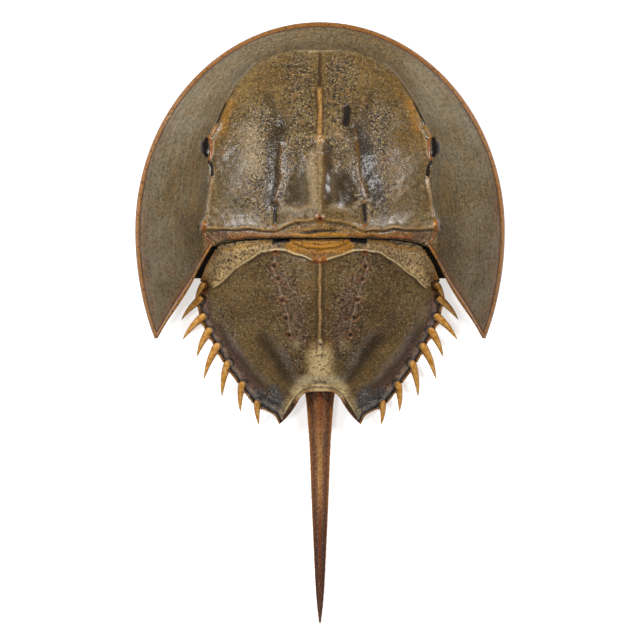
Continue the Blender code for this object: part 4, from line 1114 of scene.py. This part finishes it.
    def dress(self, piece: bpy.types.Object) -> None:
        """Paints the masks of the marks, the pits and the edges."""
        mesh = piece.data
        x, y, _ = places_of(mesh)
        normals = np.empty(len(x) * 3, np.float32)
        mesh.vertices.foreach_get("normal", normals)
        outside = step(normals[2::3], -0.6, -0.1)
        row = layer_of(mesh, "row") / (self.rows - 1)
        side = self.side(row)
        side[:, :2] += self.notches(row)
        across = np.abs(x)
        edge_gap = np.hypot(across - side[:, 0], y - side[:, 1])
        tail_gap = distance_to_path(across, y, [row[1:] for row in self.tail_edge])
        px, py = wandered(x, y, *self.wander)
        pits = [np.hypot(np.abs(px) - pit_x, py - pit_y) for pit_x, pit_y in MUSCLE_PITS]
        sockets = [np.hypot(across - root_x, y - root_y) for root_x, root_y in self.roots]
        inward = self.from_side(x, y) + 0.3 * unevenness(x, y, 5.0, 17)
        behind = 1 - step(y, 12.0, 24.0)
        well_behind = 1 - step(y, -16.0, 2.0)
        in_front = step(y, 18.0, 26.0)
        before_crest = step(py - np.interp(np.abs(px), *zip(*CREST)), 0.3, 2.5)
        # Painted shade in the furrow inside the margin
        furrow_shade = hump(inward - 2.3, 1.5) * (0.75 * behind + 0.25 * well_behind)
        more = {
            Tint.DARK: [
                *(0.95 * hump(gap, 1.7) for gap in pits),
                *(0.95 * hump(gap - 3.2, 1.2) for gap in sockets),
                furrow_shade * step(edge_gap, 0.7, 1.5),
                # Painted shade on a soft band further in from the margin
                0.4 * hump(inward - 7.5, 1.6) * behind,
                0.6 * hump(tail_gap - 2.6, 0.9),
            ],
            Tint.AMBER: [
                *(0.55 * hump(gap - 2.2, 1.1) for gap in pits),
                0.9 * (1 - step(tail_gap, 1.0, 2.0)), 0.6 * hump(edge_gap - 3.0, 1.2) * in_front,
            ],
            Tint.GOLD: [
                0.9 * (1 - step(edge_gap, 0.8, 1.6)), (1 - step(edge_gap, 1.2, 2.4)) * in_front,
            ],
            Tint.BLUSH: [0.85 * (1 - step(inward, 5.0, 10.0)) * behind],
            Tint.PALE: [
                # Painted highlights: pale glints on the strip inside the margin
                0.14 * hump(inward - 4.6, 1.9) * (0.4 * behind + 0.6 * well_behind),
                0.5 * hump(tail_gap - 1.9, 0.9) * (across < 13),
            ],
            Tint.ASH: [before_crest * step(across, 22.0, 34.0)],
            Tint.PITTED: [0.6 * (1 - step(inward, 5.0, 9.0)) * behind, 0.9 * before_crest],
        }
        for tint in Tint:
            shown = strongest(REAR_MARKS, tint, px, py, more.get(tint, []))
            paint(mesh, tint.value, shown * outside)

    def build(self, finish: bpy.types.Material) -> bpy.types.Object:
        """Makes the shield: an upper face with relief and a plain inner face."""
        plain = self.points()
        upper = plain.copy()
        upper[..., 2] += self.relief(upper[..., 0], upper[..., 1])
        bm = grid_mesh(upper, wrap=False)
        bmesh.ops.solidify(bm, geom=bm.faces[:], thickness=self.wall * MM)
        piece = make_piece(bm, "rear_shield")
        self.dress(piece)
        piece.data.materials.append(finish)
        return piece


@dataclass(frozen=True)
class Spine:
    """One movable spine of the side."""

    number: int
    side: Side
    tip: Point
    radius: float
    slope: float
    sides: int = 20
    rows: int = 36
    flatness: float = 0.85
    # Millimetres: tip below the edge, root above it, tip beyond its place
    drop: float = 5.2
    proud: float = 1.0
    point: float = 0.9
    # How far the root lies inside the shield, by radius, and the bend, by length
    socket: float = 0.9
    bow: float = 0.05
    # Row spacing: above 1 puts more rows near the root
    crowding: float = 1.15
    # Share of the length, share of the radius
    profile: tuple[Pair, ...] = (
        (0.0, 0.3), (0.025, 0.72), (0.06, 0.96), (0.11, 1.08), (0.18, 1.08), (0.3, 0.96),
        (0.52, 0.74), (0.76, 0.46), (0.92, 0.21), (1.0, 0.03),
    )

    def build(self, root: Point, edge_z: float, finish: bpy.types.Material) -> bpy.types.Object:
        """Makes the spine.

        Args:
            root: X and Y of its root on the right side.
            edge_z: Height of the shield's edge beside it.
            finish: Its material.

        Returns:
            The spine, with the share along it painted on.
        """
        run = np.subtract(self.tip, root)
        run = run * (1 + self.point / np.hypot(*run))
        tip_z = edge_z - self.drop - self.slope * float(np.hypot(*run))
        back = run / np.hypot(*run) * self.socket * self.radius
        root, run = root - back, run + back
        length = float(np.hypot(*run))
        ahead = run / length
        root_z = edge_z + self.proud
        shares = np.linspace(0, 1, self.rows) ** self.crowding
        widths = smooth_through(self.profile, shares)[:, 0] * self.radius
        turns = np.linspace(0, 2 * math.pi, self.sides + 1)
        bend = self.bow * length * np.sin(shares * math.pi)
        rows = []
        for turn in turns:
            out, rise = math.cos(turn), math.sin(turn) * self.flatness
            x = root[0] + ahead[0] * shares * length + (out * widths + bend) * ahead[1] * -1
            y = root[1] + ahead[1] * shares * length + (out * widths + bend) * ahead[0]
            z = root_z + (tip_z - root_z) * shares + rise * widths
            rows.append(np.column_stack([self.side.value * x, y, z]))
        name = f"side_spine_{self.side.name.lower()}_{self.number}"
        piece = make_piece(grid_mesh(np.array(rows), wrap=True), name)
        x, y, _ = places_of(piece.data)
        along = ((self.side.value * x - root[0]) * ahead[0] + (y - root[1]) * ahead[1]) / length
        paint(piece.data, "along", along)
        turn = layer_of(piece.data, "row") / self.sides * 2 * math.pi
        paint(piece.data, "flank", step(np.abs(np.cos(turn)), 0.55, 0.92))
        piece.data.materials.append(finish)
        return piece


@dataclass(frozen=True)
class SpineRow:
    """The eight spines of each side, from the front one back."""

    shield: RearShield
    tips: tuple[Point, ...] = (
        (82.8, 12.7), (91.7, 2.4), (91.1, -11.0), (81.7, -22.3), (77.1, -37.3), (65.2, -48.9),
        (52.9, -58.7), (40.7, -67.5),
    )
    radii: tuple[float, ...] = (2.1, 2.5, 2.6, 2.7, 2.7, 2.7, 2.5, 2.3)
    slopes: tuple[float, ...] = (0.07, 0.16, 0.16, 0.16, 0.16, 0.16, 0.16, 0.16)

    def build(self, finish: bpy.types.Material) -> dict[str, bpy.types.Object]:
        """Makes the spines, by the name of the solid that each stands for."""
        made = {}
        heights = self.shield.side(np.array(self.shield.root_shares()))[:, 2]
        for side in (Side.RIGHT, Side.LEFT):
            rows = zip(self.tips, self.radii, self.slopes, self.shield.roots, heights)
            for number, (tip, radius, slope, root, edge_z) in enumerate(rows, 1):
                spine = Spine(number, side, tip, radius, slope)
                node = f"marginal_spine_{side.name.lower()}_{number}"
                made[node] = spine.build(root, edge_z, finish)
        return made


@dataclass(frozen=True)
class JointSkin:
    """The dried skin that closes the hinge and the slit at each end of it."""

    shield: RearShield
    end_angle: float = 98.0
    samples: int = 241
    # Millimetres: under each shield, below each shield's face, the skin itself
    lap: float = 1.2
    sunk: float = 1.5
    head_sunk: float = 2.5
    thickness: float = 0.7
    # Stations of the rear shield's side beside the slit, and the slit's least half-width
    side_stations: int = 9
    slit_gap: float = 0.2

    def build(self, finish: bpy.types.Material) -> bpy.types.Object:
        """Makes the skin as a band with its two edges inside the shields' walls."""
        head = self.shield.head
        angles = np.linspace(-self.end_angle, self.end_angle, self.samples)
        edge = smooth_through(mirrored(head.rear_edge), angles)
        x, y = edge.T
        side = np.array(self.shield.side_edge[:self.side_stations])[::-1]
        front_x, front_y, front_z = self.shield.side_edge[0]
        in_slit = y < front_y
        other_x = np.where(in_slit, np.interp(y, side[:, 1], side[:, 0]), front_x)
        other_x = np.minimum(np.abs(x) - self.slit_gap * in_slit, other_x) * np.sign(x)
        other_y = np.where(in_slit, y, np.minimum(head.hinge_y(x), y) - self.shield.gap)
        top = self.shield.middle[0][1]
        rise = 1 - np.minimum(np.abs(x) / front_x, 1) ** self.shield.fall_power
        other_z = np.where(
            in_slit, np.interp(y, side[:, 1], side[:, 2]), front_z + (top - front_z) * rise,
        )
        other = np.column_stack([other_x, other_y])
        over = other - edge
        over = over / np.linalg.norm(over, axis=1)[:, None] * self.lap
        outer = np.column_stack([edge - over, head.height_at(x, y) - self.head_sunk])
        inner = np.column_stack([other + over, other_z - self.sunk])
        down = np.array([0.0, 0.0, self.thickness])
        ring = np.array([outer, inner, inner - down, outer - down, outer])
        piece = make_piece(grid_mesh(ring, wrap=True), "hinge_skin")
        piece.data.materials.append(finish)
        return piece


@dataclass(frozen=True)
class TailSpike:
    """The telson: a three-sided spike with a keel along its back."""

    root_y: float = -40.5
    tip_y: float = -200.33
    root_z: float = 13.6
    tip_z: float = 1.0
    rows: int = 260
    sides: int = 64
    height_to_half_width: float = 1.28
    tooth: float = 0.18
    roughening: float = 0.05
    # Y, half of the width
    half_widths: tuple[Pair, ...] = (
        (-200.33, 0.55), (-197.3, 0.95), (-192.0, 1.6), (-185.0, 2.3), (-172.0, 3.2),
        (-158.0, 3.9), (-145.0, 4.5), (-132.0, 5.1), (-119.0, 5.65), (-105.0, 6.15),
        (-92.0, 6.6), (-79.0, 7.2), (-68.0, 8.0), (-61.0, 8.45), (-52.0, 9.2), (-46.0, 9.7),
        (-40.5, 7.6),
    )
    # Round from the keel: turn in degrees, share of the half-width, share of the height
    section: tuple[Triple, ...] = (
        (0, 0.0, 0.62), (10, 0.12, 0.53), (35, 0.4, 0.3), (65, 0.78, 0.0), (82, 0.97, -0.14),
        (92, 1.0, -0.2), (104, 0.93, -0.29), (128, 0.72, -0.42), (155, 0.3, -0.5),
        (180, 0.0, -0.44),
    )

    def build(self, finish: bpy.types.Material) -> bpy.types.Object:
        """Makes the spike and paints its keel and its edges."""
        y = np.linspace(self.root_y, self.tip_y, self.rows)
        half = smooth_through(self.half_widths, y)[:, 0]
        share = (self.root_y - y) / (self.root_y - self.tip_y)
        height = self.height_to_half_width * half
        centre = np.maximum(self.root_z * (1 - share) + self.tip_z * share, 0.5 * height)
        turns = np.linspace(0, 360, self.sides + 1)
        folded = np.minimum(turns, 360 - turns)
        ring = smooth_through(self.section, folded)
        rows = []
        for turn, (across, up) in zip(turns, ring):
            x = across * half * (1 if turn <= 180 else -1)
            z = centre + up * height
            teeth = self.tooth * np.sin(y * 2.1) * hump(np.array(min(turn, 360 - turn)), 14.0)
            rough = self.roughening * unevenness(np.full(len(y), turn * 0.25), y, 3.5, 21)
            rows.append(np.column_stack([x + rough * (across > 0.2), y, z + teeth * (half > 1)]))
        piece = make_piece(grid_mesh(np.array(rows), wrap=True), "tail_spike")
        mesh = piece.data
        x, py, z = places_of(mesh)
        width = smooth_through(self.half_widths, py)[:, 0]
        reach = np.abs(x) / np.maximum(width, 0.2)
        low = step(-z + np.interp(py, y[::-1], centre[::-1]), -0.5, 0.5)
        # Painted shadow on the root of the spike, under the rim of the rear shield
        front = step(py, -44.0, -41.0)
        masks = {
            Tint.GOLD: 0.7 * step(reach, 0.86, 0.95),
            Tint.AMBER: 0.85 * hump(reach, 0.17) * (1 - low) + 0.25 * low,
            # Painted highlight along the keel, brightest at mid-length
            Tint.PALE: 0.75 * hump(reach - 0.1, 0.22) * hump(py + 96.0, 40.0) * (1 - low),
            Tint.DARK: np.maximum(
                0.8 * front + 0.35 * hump(reach - 0.8, 0.12) * (1 - low),
                0.45 * hump(reach - 0.62, 0.34) + 0.2 * (1 - step(py, -180.0, -110.0)),
            ),
            Tint.BLUSH: 0.85 * (1 - step(py, -160.0, -100.0)),
            Tint.PITTED: 0.45 * (1 - low),
        }
        for tint in Tint:
            paint(mesh, tint.value, masks.get(tint, np.zeros(len(x))))
        mesh.materials.append(finish)
        return piece


@dataclass(frozen=True)
class Studio:
    """A pale floor, soft lights and a camera that looks straight down."""

    frame_width: float = 0.42667
    centre_x: float = 0.0
    centre_y: float = 0.00167
    rim_height: float = 0.0028
    lens: float = 400.0
    sensor: float = 36.0
    floor_half: float = 6.0
    floor_drop: float = 0.0002
    world_light: float = 0.24
    # Name, place in metres, size in metres, watts
    softboxes: tuple[tuple[str, Place, float, float], ...] = (
        ("left_softbox", (-0.75, 0.62, 0.9), 0.26, 12.0),
        ("right_softbox", (0.68, 0.62, 0.95), 0.26, 10.0),
        ("top_softbox", (-0.36, 0.1, 1.4), 0.2, 4.0),
    )

    def floor(self) -> None:
        """Lays the floor."""
        bm = bmesh.new()
        bmesh.ops.create_grid(bm, x_segments=1, y_segments=1, size=self.floor_half)
        mesh = bpy.data.meshes.new("floor")
        bm.to_mesh(mesh)
        bm.free()
        floor = bpy.data.objects.new("floor", mesh)
        bpy.context.scene.collection.objects.link(floor)
        floor.location.z = -self.floor_drop
        sheet = Sheet("floor_paper")
        sheet.set(
            Base_Color=(0.93, 0.93, 0.93), Roughness=0.9, Specular_IOR_Level=0.1,
            Emission_Color=(1.0, 1.0, 1.0), Emission_Strength=0.6,
        )
        mesh.materials.append(sheet.material)

    def light(self, name: str, place: Place, size: float, power: float) -> None:
        """Hangs a square soft light that faces the shell."""
        lamp = bpy.data.lights.new(name, "AREA")
        lamp.shape = "SQUARE"
        lamp.size = size
        lamp.energy = power
        thing = bpy.data.objects.new(name, lamp)
        thing.location = place
        away = np.array(place) / np.linalg.norm(place)
        pitch = math.acos(away[2])
        thing.rotation_euler = (0.0, pitch, math.atan2(away[1], away[0]))
        thing.visible_camera = False
        bpy.context.scene.collection.objects.link(thing)

    def build(self) -> None:
        """Sets up the floor, the lights, the world and the camera."""
        scene = bpy.context.scene
        self.floor()
        for softbox in self.softboxes:
            self.light(*softbox)
        world = bpy.data.worlds.new("room")
        world.use_nodes = True
        background = world.node_tree.nodes["Background"]
        background.inputs["Color"].default_value = (1.0, 1.0, 1.0, 1.0)
        background.inputs["Strength"].default_value = self.world_light
        scene.world = world
        scene.view_settings.view_transform = "Standard"
        camera = bpy.data.cameras.new("camera")
        camera.lens = self.lens
        camera.sensor_width = self.sensor
        camera.clip_end = 50.0
        seen = bpy.data.objects.new("camera", camera)
        distance = self.frame_width * self.lens / self.sensor
        seen.location = (self.centre_x, self.centre_y, distance + self.rim_height)
        scene.collection.objects.link(seen)
        scene.camera = seen


def place_piece(piece: bpy.types.Object, node: str) -> None:
    """Puts a piece in the place of a solid and reports it.

    Args:
        piece: The new piece.
        node: The solid that it stands for.
    """
    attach(piece, "root")
    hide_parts(node)
    LOG.info("%s stands for %s, %d faces", piece.name, node, len(piece.data.polygons))


def main() -> None:
    """Builds the shell, piece by piece, and the studio round it."""
    logging.basicConfig(level=logging.INFO, format="%(message)s")
    Studio().build()
    shield_finish = CuticleFinish(
        "head_cuticle", light=(0.15, 0.098, 0.035), deep=(0.095, 0.058, 0.017),
        warm=(0.175, 0.084, 0.017),
    )
    rear_finish = CuticleFinish(
        "rear_cuticle", light=(0.135, 0.085, 0.031), deep=(0.09, 0.053, 0.018),
        warm=(0.16, 0.081, 0.022), blush=(0.14, 0.068, 0.06), ash=(0.74, 0.49, 0.21),
        fleck=(0.42, 0.3, 0.18), pale=(0.7, 0.52, 0.26), mottle=0.8, calm=0.0, streaks=0.0,
    )
    tail_finish = CuticleFinish(
        "tail_cuticle", light=(0.25, 0.095, 0.034), deep=(0.15, 0.055, 0.022),
        warm=(0.28, 0.09, 0.018), fleck=(0.52, 0.28, 0.1), amber=(0.24, 0.045, 0.008),
        pale=(0.5, 0.29, 0.09), blush=(0.09, 0.018, 0.007), mottle=0.8, streaks=0.0,
        roughness=0.26, shine=0.1,
    )
    place_piece(HeadShield().build(shield_finish.build()), "prosoma")
    rear = RearShield()
    place_piece(rear.build(rear_finish.build()), "opisthosoma")
    place_piece(TailSpike().build(tail_finish.build()), "telson")
    for node, spine in SpineRow(rear).build(SpineFinish().build()).items():
        place_piece(spine, node)
    # The joint skin is nearly black: its own colour and painted shade inside the slit
    leather = SkinFinish().build()
    place_piece(JointSkin(rear).build(leather), "joint_skin")
    bpy.data.objects["tail_skin"].material_slots[0].material = leather


if __name__ == "__main__":
    main()
